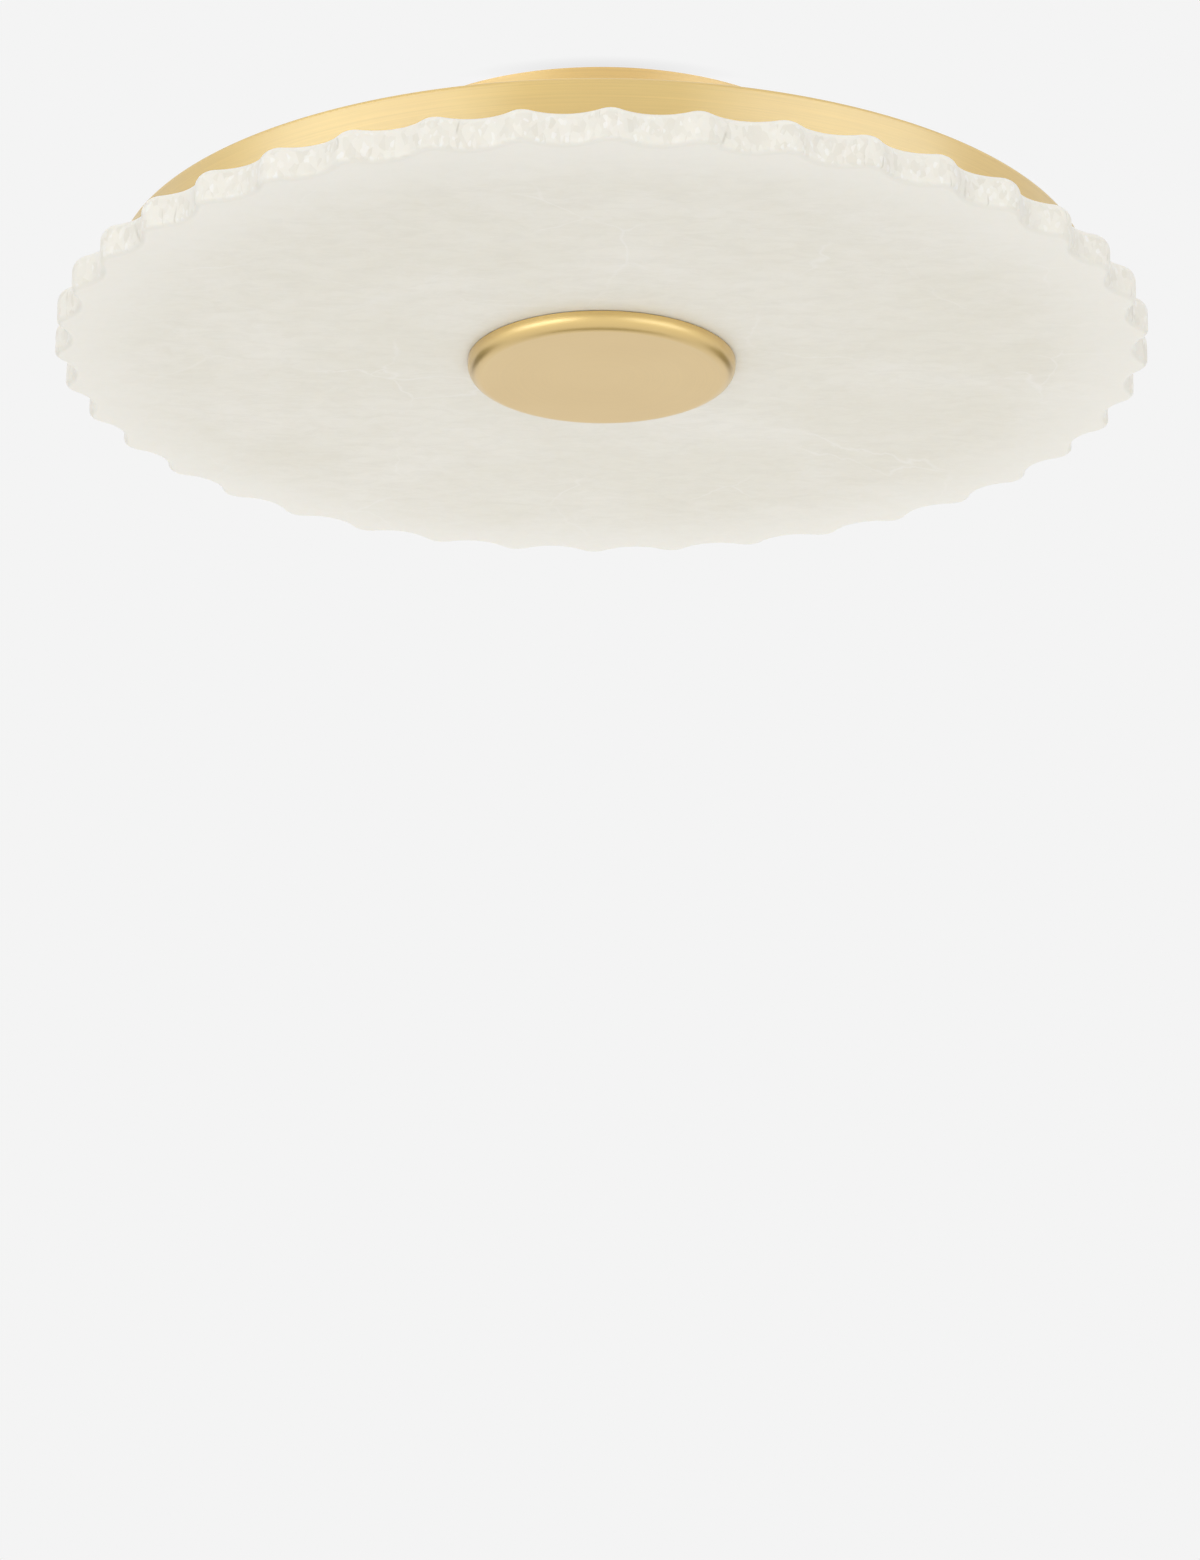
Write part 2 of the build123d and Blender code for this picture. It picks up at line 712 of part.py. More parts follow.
# Grommet round the edge of the hole through both sheets
with BuildPart() as grommet_ring:
    with BuildSketch(Plane.XZ):
        with BuildLine():
            Polyline(
                (grommet_bore / 2, pan_plate - grommet_flange_height),
                (grommet_flange / 2, pan_plate - grommet_flange_height),
                (grommet_flange / 2, pan_plate),
                (grommet_hole / 2 - seat_play, pan_plate),
                (grommet_hole / 2 - seat_play, canopy_floor),
                (grommet_flange / 2, canopy_floor),
                (grommet_flange / 2, canopy_floor + grommet_flange_height),
                (grommet_bore / 2, canopy_floor + grommet_flange_height),
                close=True,
            )
        make_face()
    revolve(axis=Axis.Z)
with BuildPart() as wire_grommet:
    with Locations(grommet_place):
        add(grommet_ring.part)
keep(wire_grommet, "wire_grommet")

# The two leads: out of the driver, down through the grommet, and out to the connector
lead_bend = lead_bend_share * (lead_start_height - lead_low)
for name, side in zip(("led_lead_positive", "led_lead_negative"), lead_offsets):
    down = grommet_place + across * side
    end = along * (connector_out + connector_entry_depth - entry_play) + across * side
    with BuildPart() as led_lead:
        with BuildLine() as lead_route:
            FilletPolyline(
                (down.X, driver_front + driver_wall, lead_start_height),
                (down.X, down.Y, lead_start_height),
                (down.X, down.Y, lead_low),
                (end.X, end.Y, lead_low),
                radius=lead_bend,
            )
        with BuildSketch(Plane(origin=lead_route.line @ 0, z_dir=lead_route.line % 0)):
            Circle(lead_diameter / 2)
        sweep()
    keep(led_lead, name)
    lead_length = lead_route.wires()[0].length
    lead_section = pi * (lead_diameter / 2) ** 2
    print(
        f"{name}: length {lead_length:.1f} mm, bend radius {lead_bend:.2f} mm,",
        f"volume {led_lead.part.volume / (lead_section * lead_length):.5f} of section times length",
    )
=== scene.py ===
"""Finishes and fine pieces for an alabaster ceiling light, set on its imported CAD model.

Everything is in metres in the CAD model's own frame: the ceiling is z = 0 and the front looks along -Y.
"""

import math

import bmesh
import bpy
from bpy.props import FloatProperty, FloatVectorProperty, IntProperty, PointerProperty
from mathutils import Matrix, Vector, noise


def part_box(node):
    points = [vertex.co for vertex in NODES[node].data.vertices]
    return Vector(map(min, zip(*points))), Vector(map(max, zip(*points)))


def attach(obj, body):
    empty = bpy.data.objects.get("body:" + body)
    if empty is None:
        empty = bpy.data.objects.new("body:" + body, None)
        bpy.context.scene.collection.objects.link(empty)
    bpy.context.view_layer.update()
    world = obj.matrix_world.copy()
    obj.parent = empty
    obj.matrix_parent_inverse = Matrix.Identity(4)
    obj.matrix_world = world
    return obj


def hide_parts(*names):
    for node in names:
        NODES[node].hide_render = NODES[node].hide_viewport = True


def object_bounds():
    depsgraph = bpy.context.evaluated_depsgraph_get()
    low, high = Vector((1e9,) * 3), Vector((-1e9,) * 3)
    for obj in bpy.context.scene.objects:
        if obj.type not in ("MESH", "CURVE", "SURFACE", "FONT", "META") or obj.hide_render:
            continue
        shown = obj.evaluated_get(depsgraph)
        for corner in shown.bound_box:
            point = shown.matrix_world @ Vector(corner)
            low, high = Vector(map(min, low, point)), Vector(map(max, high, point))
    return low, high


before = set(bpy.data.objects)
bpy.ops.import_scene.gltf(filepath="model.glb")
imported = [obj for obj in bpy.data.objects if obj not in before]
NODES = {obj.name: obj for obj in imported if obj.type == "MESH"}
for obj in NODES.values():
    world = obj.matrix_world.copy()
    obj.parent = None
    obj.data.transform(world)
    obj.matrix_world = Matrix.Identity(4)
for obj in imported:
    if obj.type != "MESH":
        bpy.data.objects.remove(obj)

bl_info = {
    "name": "Alabaster Ceiling Light",
    "version": (1, 0, 0),
    "blender": (4, 5, 0),
    "location": "View3D > Sidebar > Ceiling Light",
    "description": "Dresses the CAD model of a flush ceiling light in stone, brass and hardware",
    "category": "Object",
}

CAD_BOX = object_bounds()
MM = 0.001
# Points nearer than this to each other are made one
WELD = 0.002 * MM
# Distance from a bend to the row of points that keeps the flat beside it flat in the shading
HOLD = 0.4 * MM


def linear(code):
    """Turns an sRGB hex colour, such as #E8E4D8, into linear RGBA."""
    channels = [int(code[place:place + 2], 16) / 255 for place in (1, 3, 5)]
    return tuple(c / 12.92 if c <= 0.04045 else ((c + 0.055) / 1.055) ** 2.4 for c in channels) + (1.0,)


def length(name, description, millimetres):
    """A size that a user can change, kept in metres."""
    return FloatProperty(
        name=name, description=description, default=millimetres * MM, min=0.0,
        precision=5, subtype="DISTANCE", unit="LENGTH",
    )


def degrees(name, description, value):
    """An angle that a user can change, kept in radians."""
    return FloatProperty(
        name=name, description=description, default=math.radians(value), subtype="ANGLE", unit="ROTATION",
    )


def watts(name, description, value):
    """The power of a lamp that a user can change."""
    return FloatProperty(name=name, description=description, default=value, min=0.0, unit="POWER")


def colour(name, description, code):
    """A colour that a user can change."""
    return FloatVectorProperty(
        name=name, description=description, default=linear(code), size=4, min=0.0, max=1.0, subtype="COLOR",
    )


class StoneSettings(bpy.types.PropertyGroup):
    """Sizes and colours of the alabaster disc"""

    flutes: IntProperty(name="Flutes", description="Hollow flutes round the rim", default=40, min=8)
    flute_depth: length("Flute depth", "From the crests down to the bottom of a flute", 6.1)
    crest_radius: length("Crest radius", "Rounding of the crests between the flutes", 9.4)
    round_top: length("Top rounding", "Rounding of the rim against the pan", 6.5)
    round_bottom: length("Bottom rounding", "Rounding of the rim against the lower face", 2.5)
    bore: length("Bore", "Diameter of the hole in the middle", 20.0)
    turn: degrees("Turn", "How far the disc stands turned about its rod", 0.8)
    rim_relief: length("Rim relief", "Deepest hollow that the hand dressing leaves on the rim", 0.3)
    face_relief: length("Face relief", "Deepest hollow that honing leaves on the faces", 0.1)
    body_colour: colour("Body", "The stone's main colour", "#E9E5D8")
    cloud_colour: colour("Clouds", "The lighter clouds and veins in it", "#F4F1EA")
    shade_colour: colour("Shades", "The greyer streaks and the dull crystals in it", "#DAD5C7")
    # Partly painted highlight: lighter crystals, painted brighter as glints where they catch the light
    glint_fleck_colour: colour("Flecks", "Crystals in the rim that catch the light", "#FCFBF8")
    crack_colour: colour("Cracks", "The short upright cracks in the rim", "#BDB7A6")
    # Painted glow: a lighter colour laid on towards the rim, in place of light that comes through the stone
    painted_glow_colour: colour("Rim glow", "Warm white where light comes through the stone by its rim", "#F3F0E7")


class MetalSettings(bpy.types.PropertyGroup):
    """Colours, sheet sizes and thread sizes of the metal pieces"""

    brass: colour("Satin brass", "Spun and brushed brass of the pan", "#DDC073")
    # A deeper copy of the pan's brass: its extra orange is a painted reflection of the pan's brass in the
    # canopy, and the cap shares it
    deeper_painted_brass: colour("Deep brass", "Brass of the canopy and the cap", "#E1BF6E")
    turned_brass: colour("Turned brass", "Bright brass off the lathe", "#DDBD78")
    zinc: colour("Zinc plate", "Bright zinc on the steel hardware", "#B9BDC2")
    straw: colour("Passivation", "Straw-coloured clouds in the zinc plate", "#C8C6BC")
    green_zinc: colour("Green zinc", "Dyed zinc of the ground screw", "#2F7D4B")
    sheet: length("Sheet", "Thickness of the pan's and the canopy's sheet", 1.2)
    pan_bend: length("Pan bend", "Outer radius of the pan's two bends", 1.5)
    pan_lip: length("Pan lip", "Width of the lip that is turned in under the pan", 9.0)
    canopy_bend: length("Canopy bend", "Outer radius of the bend round the canopy's floor", 3.0)
    cap_sheet: length("Cap sheet", "Thickness of the cap's sheet", 1.0)
    cap_bend: length("Cap bend", "Outer radius of the cap's rounded edge", 5.6)
    rod_pitch: length("Rod pitch", "Pitch of the thread on the hollow rod", 1.0)
    rod_bore: length("Rod bore", "Diameter of the hole through the rod", 6.5)
    stud_pitch: length("Stud pitch", "Pitch of the thread on the two studs", 0.8)
    clamp_pitch: length("Clamp screw pitch", "Pitch of the thread on the clamp screws", 0.7)
    board_pitch: length("Board screw pitch", "Pitch of the thread on the board screws", 0.5)


class FittingSettings(bpy.types.PropertyGroup):
    """Colours of the plastic, rubber and electrical pieces"""

    abs_white: colour("White ABS", "Driver case, its lid and the connector", "#E4E3DE")
    polyamide: colour("Grey polyamide", "Terminal block", "#A3A6A8")
    nylon: colour("Natural nylon", "Centring bush", "#E6E0CC")
    powder_coat: colour("White powder coat", "Reflector plate", "#F0F0EC")
    thermal_pad: colour("Thermal pad", "Filled silicone sheet under the board", "#8FA0B4")
    white_mask: colour("White solder mask", "LED board", "#EDEFEE")
    green_mask: colour("Green solder mask", "Circuit inside the driver", "#1C6B41")
    phosphor: colour("Phosphor", "Yellow filling of the LEDs", "#F0CB4E")
    silicone: colour("Silicone", "Gaskets and bumpers", "#E4E2DC")
    rubber: colour("Black rubber", "Grommet", "#232324")
    red: colour("Red insulation", "Positive lead", "#B3231E")
    black: colour("Black insulation", "Negative lead", "#1E1E20")
    tape: colour("Polyester tape", "Tape round the transformer's winding", "#E2C84A")
    ferrite: colour("Ferrite", "Core of the transformer", "#3C3D3F")
    sleeve: colour("Shrink sleeve", "Sleeve of the capacitors", "#1B1C22")
    can: colour("Aluminium can", "Bare top of the capacitors", "#C9CBCD")


class StageSettings(bpy.types.PropertyGroup):
    """Camera, background and light"""

    backdrop: colour("Backdrop", "Plain ceiling and surroundings as the camera sees them", "#F4F4F4")
    gloss_lamp: colour("Gloss lamps", "Light of the four lamps that only the metals show", "#F2FCFF")
    dark_card: colour("Dark cards", "Cards low behind the object that only the metals reflect", "#33312E")
    camera_distance: length("Camera distance", "Level distance from the disc's axis", 2711.0)
    camera_drop: length("Camera drop", "How far the camera stands below the ceiling", 1192.0)
    camera_pitch: degrees("Camera pitch", "Upward tilt of the camera", 18.67)
    camera_roll: degrees("Camera roll", "Turn of the camera about its line of sight", 0.235)
    focal_length: FloatProperty(
        name="Focal length", description="Lens of the camera on a 36 mm sensor", default=161.2,
        subtype="DISTANCE_CAMERA",
    )
    sky_strength: FloatProperty(
        name="Sky strength", description="Even light from all round", default=0.86, min=0.0,
    )
    side_power: watts("Side lamps", "Each of the two long soft lamps high on the left and right", 5.4)
    low_left_power: watts("Low left lamp", "Wide soft lamp a little below the object, on the left", 20.0)
    low_right_power: watts("Low right lamp", "Wide soft lamp a little below the object, on the right", 12.0)
    front_power: watts("Front lamp", "Soft lamp high in front, for the stone's rim", 8.2)
    back_power: watts("Back lamp", "Soft lamp low behind the object", 7.8)


def add_node(tree, kind, inputs=(), **settings):
    """Adds a shader node with its settings.

    An input, named by its identifier, takes a value, a node or a socket.
    """
    node = tree.nodes.new("ShaderNode" + kind)
    for name, value in settings.items():
        setattr(node, name, value)
    sockets = {socket.identifier: socket for socket in node.inputs}
    for name, value in dict(inputs).items():
        if isinstance(value, bpy.types.Node):
            value = next(output for output in value.outputs if output.enabled)
        if isinstance(value, bpy.types.NodeSocket):
            tree.links.new(value, sockets[name])
        else:
            sockets[name].default_value = value
    return node


def start_material(name):
    """A new material with an empty node tree, and the tree's object coordinates."""
    material = bpy.data.materials.new(name)
    material.use_nodes = True
    tree = material.node_tree
    tree.nodes.clear()
    return material, tree, add_node(tree, "TexCoord").outputs["Object"]


def close_material(tree, rough=None, bump=None, **surface):
    """Ends a node tree with a Principled surface, whose inputs have underscores for spaces.

    rough holds a pattern, the span of its values and the roughness at either end of that span. bump holds
    a pattern, its strength and its height in millimetres.
    """
    if rough:
        pattern, span, ends = rough
        surface["Roughness"] = add_node(tree, "MapRange", {
            "Value": pattern, "From Min": span[0], "From Max": span[1],
            "To Min": ends[0], "To Max": ends[1]})
    if bump:
        pattern, strength, height = bump
        surface["Normal"] = add_node(
            tree, "Bump", {"Strength": strength, "Distance": height * MM, "Height": pattern})
    inputs = {name.replace("_", " "): value for name, value in surface.items()}
    add_node(tree, "OutputMaterial", {"Surface": add_node(tree, "BsdfPrincipled", inputs)})


def lay_over(tree, under, over, pattern, span, amounts, *shares, **settings):
    """Lays a colour over another by the amounts at either end of a pattern's span, thinned by shares."""
    amount = add_node(tree, "MapRange", {
        "Value": pattern, "From Min": span[0], "From Max": span[1],
        "To Min": amounts[0], "To Max": amounts[1]}, **settings)
    for share in shares:
        amount = add_node(tree, "Math", {"Value": amount, "Value_001": share}, operation="MULTIPLY")
    return add_node(
        tree, "Mix", {"Factor_Float": amount, "A_Color": under, "B_Color": over}, data_type="RGBA")


def toned(tree, tint, pattern, tones):
    """A colour that a noise pattern, mostly between 0.3 and 0.7, makes darker and lighter."""
    tone = add_node(tree, "MapRange", {
        "Value": pattern, "From Min": 0.3, "From Max": 0.7, "To Min": tones[0], "To Max": tones[1]})
    return add_node(tree, "VectorMath", {"Vector": tint[:3], "Scale": tone}, operation="SCALE")


def per_metre(millimetres):
    """Texture scale at which one cell of a pattern measures that many millimetres."""
    return 1 / (millimetres * MM)


def from_axis(tree, place):
    """The level part of a place, and its distance from the Z axis."""
    flat = add_node(tree, "VectorMath", {"Vector": place, "Vector_001": (1, 1, 0)}, operation="MULTIPLY")
    return flat, add_node(tree, "VectorMath", {"Vector": flat}, operation="LENGTH").outputs["Value"]


def marks_round_axis(tree, place, streak, spacing):
    """Coordinates for marks that run round the Z axis, with streaks and spacing in millimetres."""
    flat, radius = from_axis(tree, place)
    height = add_node(tree, "SeparateXYZ", {"Vector": place}).outputs["Z"]
    across = add_node(tree, "Math", {"Value": radius, "Value_001": height}, operation="ADD")
    lift = add_node(tree, "CombineXYZ", {"Z": across})
    along = add_node(tree, "VectorMath", {"Vector": flat, "Scale": per_metre(streak)}, operation="SCALE")
    lifted = add_node(tree, "VectorMath", {"Vector": lift, "Scale": per_metre(spacing)}, operation="SCALE")
    return add_node(tree, "VectorMath", {"Vector": along, "Vector_001": lifted}, operation="ADD")


def lines_in_patches(tree, warped, cell, place, patch, detail, span):
    """Distance from thin lines round cells, and the share of the lines that shows, which comes in patches.

    The sizes of cell and patch are in millimetres.
    """
    cells = add_node(
        tree, "TexVoronoi", {"Vector": warped, "Scale": per_metre(cell)}, feature="DISTANCE_TO_EDGE")
    patches = add_node(tree, "TexNoise", {"Vector": place, "Scale": per_metre(patch), "Detail": detail})
    return cells, add_node(tree, "MapRange", {"Value": patches, "From Min": span[0], "From Max": span[1]})


def alabaster(stone):
    """Honed white alabaster."""
    # A soft translucent stone: faint clouds, fine streaks along its bedding and a few thin light veins.
    # It is painted lighter towards the rim, a painted glow in place of the light that also enters from the
    # side. The rim is dressed and not honed, so its crystals, 2 to 3 mm across, show as dull patches with
    # small bright flecks among short upright cracks.
    material, tree, place = start_material("honed_alabaster")
    clouds = add_node(tree, "TexNoise", {
        "Vector": place, "Scale": per_metre(70), "Detail": 4.0, "Roughness": 0.55, "Distortion": 0.5})
    body = lay_over(tree, stone.body_colour, stone.cloud_colour, clouds, (0.4, 0.7), (0.0, 0.45))
    bedding = add_node(
        tree, "Mapping", {"Vector": place, "Rotation": (0.0, 0.0, 0.06), "Scale": (0.45, 1.0, 1.0)})
    streaks = add_node(tree, "TexNoise", {
        "Vector": bedding, "Scale": per_metre(7), "Detail": 6.0, "Roughness": 0.7, "Distortion": 0.8})
    streaked = lay_over(tree, body, stone.shade_colour, streaks, (0.42, 0.75), (0.0, 0.38))
    bent = add_node(
        tree, "VectorMath", {"Vector": clouds.outputs["Color"], "Scale": 45 * MM}, operation="SCALE")
    warped = add_node(tree, "VectorMath", {"Vector": place, "Vector_001": bent}, operation="ADD")
    veins, vein_share = lines_in_patches(tree, warped, 80, place, 55, 1.0, (0.5, 0.65))
    veined = lay_over(tree, streaked, stone.cloud_colour, veins, (0.0, 0.012), (0.5, 0.0), vein_share)
    # Painted glow: the stone is painted lighter towards the rim, where light comes through it from the side
    lit = lay_over(
        tree, veined, stone.painted_glow_colour, from_axis(tree, place)[1], (175 * MM, 228 * MM), (0.0, 0.9),
        interpolation_type="SMOOTHSTEP")

    normal = add_node(tree, "TexCoord").outputs["Normal"]
    upright = add_node(tree, "SeparateXYZ", {"Vector": normal}).outputs["Z"]
    facing = add_node(tree, "Math", {"Value": upright}, operation="ABSOLUTE")
    dressed = add_node(tree, "MapRange", {
        "Value": facing, "From Min": 0.35, "From Max": 0.8, "To Min": 1.0, "To Max": 0.0})
    tall = add_node(tree, "Mapping", {"Vector": place, "Scale": (1.0, 1.0, 0.6)})
    crystals = add_node(tree, "TexVoronoi", {"Vector": tall, "Scale": per_metre(2.6)}, feature="F1")
    crystal_tone = add_node(tree, "SeparateColor", {"Color": crystals.outputs["Color"]}).outputs["Red"]
    dulled = lay_over(tree, lit, stone.shade_colour, crystal_tone, (0.0, 0.6), (0.42, 0.05), dressed)
    # Flecks on the rim: lighter crystals painted brighter, as painted glints where crystals catch the light
    glint_cells = add_node(tree, "TexVoronoi", {"Vector": tall, "Scale": per_metre(1.5)}, feature="F1")
    glint_tone = add_node(tree, "SeparateColor", {"Color": glint_cells.outputs["Color"]}).outputs["Green"]
    glint_flecked = lay_over(tree, dulled, stone.glint_fleck_colour, glint_tone, (0.84, 0.97), (0.0, 0.5), dressed)
    columns = add_node(tree, "Mapping", {"Vector": place, "Scale": (1.0, 1.0, 0.16)})
    cracks, crack_share = lines_in_patches(tree, columns, 17, place, 12, 2.0, (0.55, 0.65))
    cracked = lay_over(
        tree, glint_flecked, stone.crack_colour, cracks, (0.0, 0.022), (0.5, 0.0), crack_share, dressed)

    grain = add_node(
        tree, "TexNoise", {"Vector": place, "Scale": per_metre(2.2), "Detail": 3.0, "Roughness": 0.6})
    relief = add_node(tree, "Math", {"Value": grain, "Value_001": dressed}, operation="MULTIPLY")
    close_material(
        tree, rough=(crystal_tone, (0.0, 1.0), (0.32, 0.5)), bump=(relief, 0.25, 0.3),
        Base_Color=cracked, IOR=1.52,
        Subsurface_Weight=0.25, Subsurface_Radius=(1.0, 0.85, 0.65), Subsurface_Scale=5 * MM,
    )
    return material


def satin_brass(name, tint, streak_relief, roughness, spread, gloss):
    """Brass sheet, spun, brushed round with a fine belt and lacquered."""
    # The brush leaves fine lines round the axis, which draw the highlights out across them. The real
    # lines are 0.1 to 0.2 mm apart, and they are drawn 0.7 mm apart so that the render shows them.
    material, tree, place = start_material(name)
    marks = marks_round_axis(tree, place, streak=70, spacing=0.7)
    lines = add_node(tree, "TexNoise", {"Vector": marks, "Scale": 1.0, "Detail": 2.0, "Roughness": 0.7})
    lacquer = add_node(
        tree, "TexNoise", {"Vector": place, "Scale": per_metre(45), "Detail": 3.0, "Roughness": 0.5})
    tangent = add_node(tree, "Tangent", direction_type="RADIAL", axis="Z")
    close_material(
        tree, rough=(lacquer, (0.35, 0.65), (roughness - 0.03, roughness + 0.03)),
        bump=(lines, streak_relief, 0.02),
        Base_Color=toned(tree, tint, lines, (1.0 - streak_relief, 1.0 + streak_relief)), Metallic=1.0,
        Tangent=tangent, Anisotropic=spread, Anisotropic_Rotation=0.25,
        Coat_Weight=1.0, Coat_Roughness=gloss, Coat_IOR=2.0,
    )
    return material


def turned_brass(tint):
    """Free-cutting brass as it comes off the lathe."""
    # Bright, with the fine rings that the cutting tool leaves, about 0.25 mm apart.
    material, tree, place = start_material("turned_brass")
    marks = marks_round_axis(tree, place, streak=30, spacing=0.25)
    rings = add_node(tree, "TexNoise", {"Vector": marks, "Scale": 1.0, "Detail": 2.0, "Roughness": 0.6})
    close_material(
        tree, rough=(rings, (0.3, 0.7), (0.16, 0.28)), bump=(rings, 0.2, 0.02),
        Base_Color=tint, Metallic=1.0)
    return material


def bright_metal(name, tint, cloud_tint=None):
    """Zinc plate on steel, or drawn aluminium."""
    # Neither skin is quite even. The passivation of zinc also leaves faint blue and straw clouds in it,
    # some 6 mm across, while dyed zinc and aluminium keep one colour.
    material, tree, place = start_material(name)
    clouds = add_node(
        tree, "TexNoise", {"Vector": place, "Scale": per_metre(6), "Detail": 3.0, "Roughness": 0.6})
    grain = add_node(tree, "TexNoise", {"Vector": place, "Scale": per_metre(0.8), "Detail": 1.0})
    if cloud_tint is not None:
        tint = add_node(
            tree, "Mix", {"Factor_Float": clouds, "A_Color": tint, "B_Color": cloud_tint},
            data_type="RGBA")
    close_material(
        tree, rough=(clouds, (0.3, 0.7), (0.24, 0.4)), bump=(grain, 0.08, 0.02),
        Base_Color=tint, Metallic=1.0)
    return material


def moulded(name, tint, roughness, grain, relief, ior=1.5):
    """A moulded or coated surface with a fine even grain, its size and relief in millimetres."""
    # The grain of the mould, or the orange peel of a coating, breaks up the gloss a little, and the
    # colour is faintly uneven.
    material, tree, place = start_material(name)
    pebbles = add_node(
        tree, "TexNoise", {"Vector": place, "Scale": per_metre(grain), "Detail": 3.0, "Roughness": 0.5})
    clouds = add_node(tree, "TexNoise", {"Vector": place, "Scale": per_metre(25), "Detail": 2.0})
    close_material(
        tree, rough=(pebbles, (0.3, 0.7), (roughness - 0.05, roughness + 0.05)),
        bump=(pebbles, 0.4, relief), Base_Color=toned(tree, tint, clouds, (0.97, 1.02)), IOR=ior)
    return material


def clear_silicone(tint):
    """Clear silicone, moulded as small pads."""
    # Nearly clear and slightly milky, with a soft skin.
    material, tree, place = start_material("clear_silicone")
    milk = add_node(tree, "TexNoise", {"Vector": place, "Scale": per_metre(3), "Detail": 2.0})
    close_material(
        tree, rough=(milk, (0.3, 0.7), (0.25, 0.4)), Base_Color=tint, IOR=1.41, Transmission_Weight=0.6)
    return material


def solder_mask(name, tint, copper_tone, spacing):
    """A circuit board under its solder mask, with the copper showing through as raised tracks."""
    # The tracks are 1 to 2 mm wide, and the mask lies over them about 0.04 mm higher than beside them.
    material, tree, place = start_material(name)
    cells = add_node(
        tree, "TexVoronoi", {"Vector": place, "Scale": per_metre(spacing)}, feature="F1",
        distance="CHEBYCHEV")
    tracks = add_node(tree, "MapRange", {
        "Value": cells.outputs["Distance"], "From Min": 0.38, "From Max": 0.42,
        "To Min": 1.0, "To Max": 0.0})
    copper = [channel * copper_tone for channel in tint[:3]] + [1.0]
    mixed = add_node(
        tree, "Mix", {"Factor_Float": tracks, "A_Color": tint, "B_Color": copper}, data_type="RGBA")
    close_material(tree, bump=(tracks, 0.5, 0.04), Base_Color=mixed, Roughness=0.3, IOR=1.5)
    return material


def ring_at(radius, height, steps):
    """One row of points round the axis."""
    turns = [math.tau * step / steps for step in range(steps)]
    return [(radius * math.cos(turn), radius * math.sin(turn), height) for turn in turns]


def move_rows(rows, place):
    """The same rows moved by place."""
    return [[(x + place[0], y + place[1], z + place[2]) for x, y, z in row] for row in rows]


class Form:
    """Points and faces gathered for one mesh, each face with the number of its finish."""

    def __init__(self):
        self.points, self.faces, self.finishes = [], [], []

    def skin(self, rows, closed=True, finish=0):
        """Joins rows of points, all of one length, by quads; closed joins each row's end to its start."""
        count = len(rows[0])
        first = len(self.points)
        for row in rows:
            self.points.extend(row)
        for row in range(len(rows) - 1):
            for column in range(count if closed else count - 1):
                beside = (column + 1) % count
                here, there = first + row * count, first + (row + 1) * count
                self.faces.append((here + column, here + beside, there + beside, there + column))
                self.finishes.append(finish)

    def turned(self, profile, steps, place=(0, 0, 0), finish=0):
        """Turns a profile of (radius, height) about an upright axis at place."""
        rows = [ring_at(radius, height, steps) for radius, height in profile]
        self.skin(move_rows(rows, place), finish=finish)

    def box(self, low, high, bevel, finish=0):
        """A box between two corners with bevelled edges."""
        block = bmesh.new()
        bmesh.ops.create_cube(block, size=1.0)
        size = Vector(high) - Vector(low)
        middle = (Vector(high) + Vector(low)) / 2
        for corner in block.verts:
            corner.co = Vector(c * s for c, s in zip(corner.co, size)) + middle
        bmesh.ops.bevel(block, geom=block.edges[:], offset=bevel, segments=3, profile=0.5, affect="EDGES")
        first = len(self.points)
        block.verts.ensure_lookup_table()
        self.points.extend(tuple(corner.co) for corner in block.verts)
        for face in block.faces:
            self.faces.append(tuple(first + corner.index for corner in face.verts))
            self.finishes.append(finish)
        block.free()

    def add_mesh(self, mesh, place):
        """Adds a copy of a finished mesh, moved to place."""
        first = len(self.points)
        self.points.extend(tuple(vertex.co + Vector(place)) for vertex in mesh.vertices)
        for face in mesh.polygons:
            self.faces.append(tuple(first + corner for corner in face.vertices))
            self.finishes.append(face.material_index)

    def mesh(self, name, crease=35.0):
        """Welds the gathered points into a mesh, smooth but for edges sharper than crease degrees."""
        mesh = bpy.data.meshes.new(name)
        mesh.from_pydata(self.points, [], self.faces)
        for face, finish in zip(mesh.polygons, self.finishes):
            face.material_index = finish
        solid = bmesh.new()
        solid.from_mesh(mesh)
        bmesh.ops.remove_doubles(solid, verts=solid.verts, dist=WELD)
        bmesh.ops.dissolve_degenerate(solid, edges=solid.edges, dist=WELD)
        bmesh.ops.recalc_face_normals(solid, faces=solid.faces)
        solid.to_mesh(mesh)
        solid.free()
        mesh.shade_smooth()
        mesh.set_sharp_from_angle(angle=math.radians(crease))
        return mesh


def add_piece(name, mesh, materials, body, slot, *nodes):
    """Puts a mesh in the scene on its CAD body, in place of the named CAD nodes."""
    for material in materials:
        mesh.materials.append(material)
    piece = bpy.data.objects.new(name, mesh)
    bpy.context.scene.collection.objects.link(piece)
    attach(piece, body)
    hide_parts(*nodes)
    return piece


def dress(material, *nodes):
    """Gives CAD nodes a finish and leaves their shape."""
    for node in nodes:
        for place in NODES[node].material_slots:
            place.material = material


def solids(node):
    """Lowest and highest corner of each separate solid of a CAD node."""
    shape = bmesh.new()
    shape.from_mesh(NODES[node].data)
    bmesh.ops.remove_doubles(shape, verts=shape.verts, dist=WELD)
    left = set(shape.verts)
    found = []
    while left:
        wave = [left.pop()]
        points = []
        while wave:
            vertex = wave.pop()
            points.append(vertex.co.copy())
            near = [edge.other_vert(vertex) for edge in vertex.link_edges]
            wave.extend(other for other in near if other in left)
            left.difference_update(near)
        low = Vector(min(p[axis] for p in points) for axis in range(3))
        high = Vector(max(p[axis] for p in points) for axis in range(3))
        found.append((low, high))
    shape.free()
    return sorted(found, key=lambda corners: (round(corners[0].x, 4), round(corners[0].y, 4)))


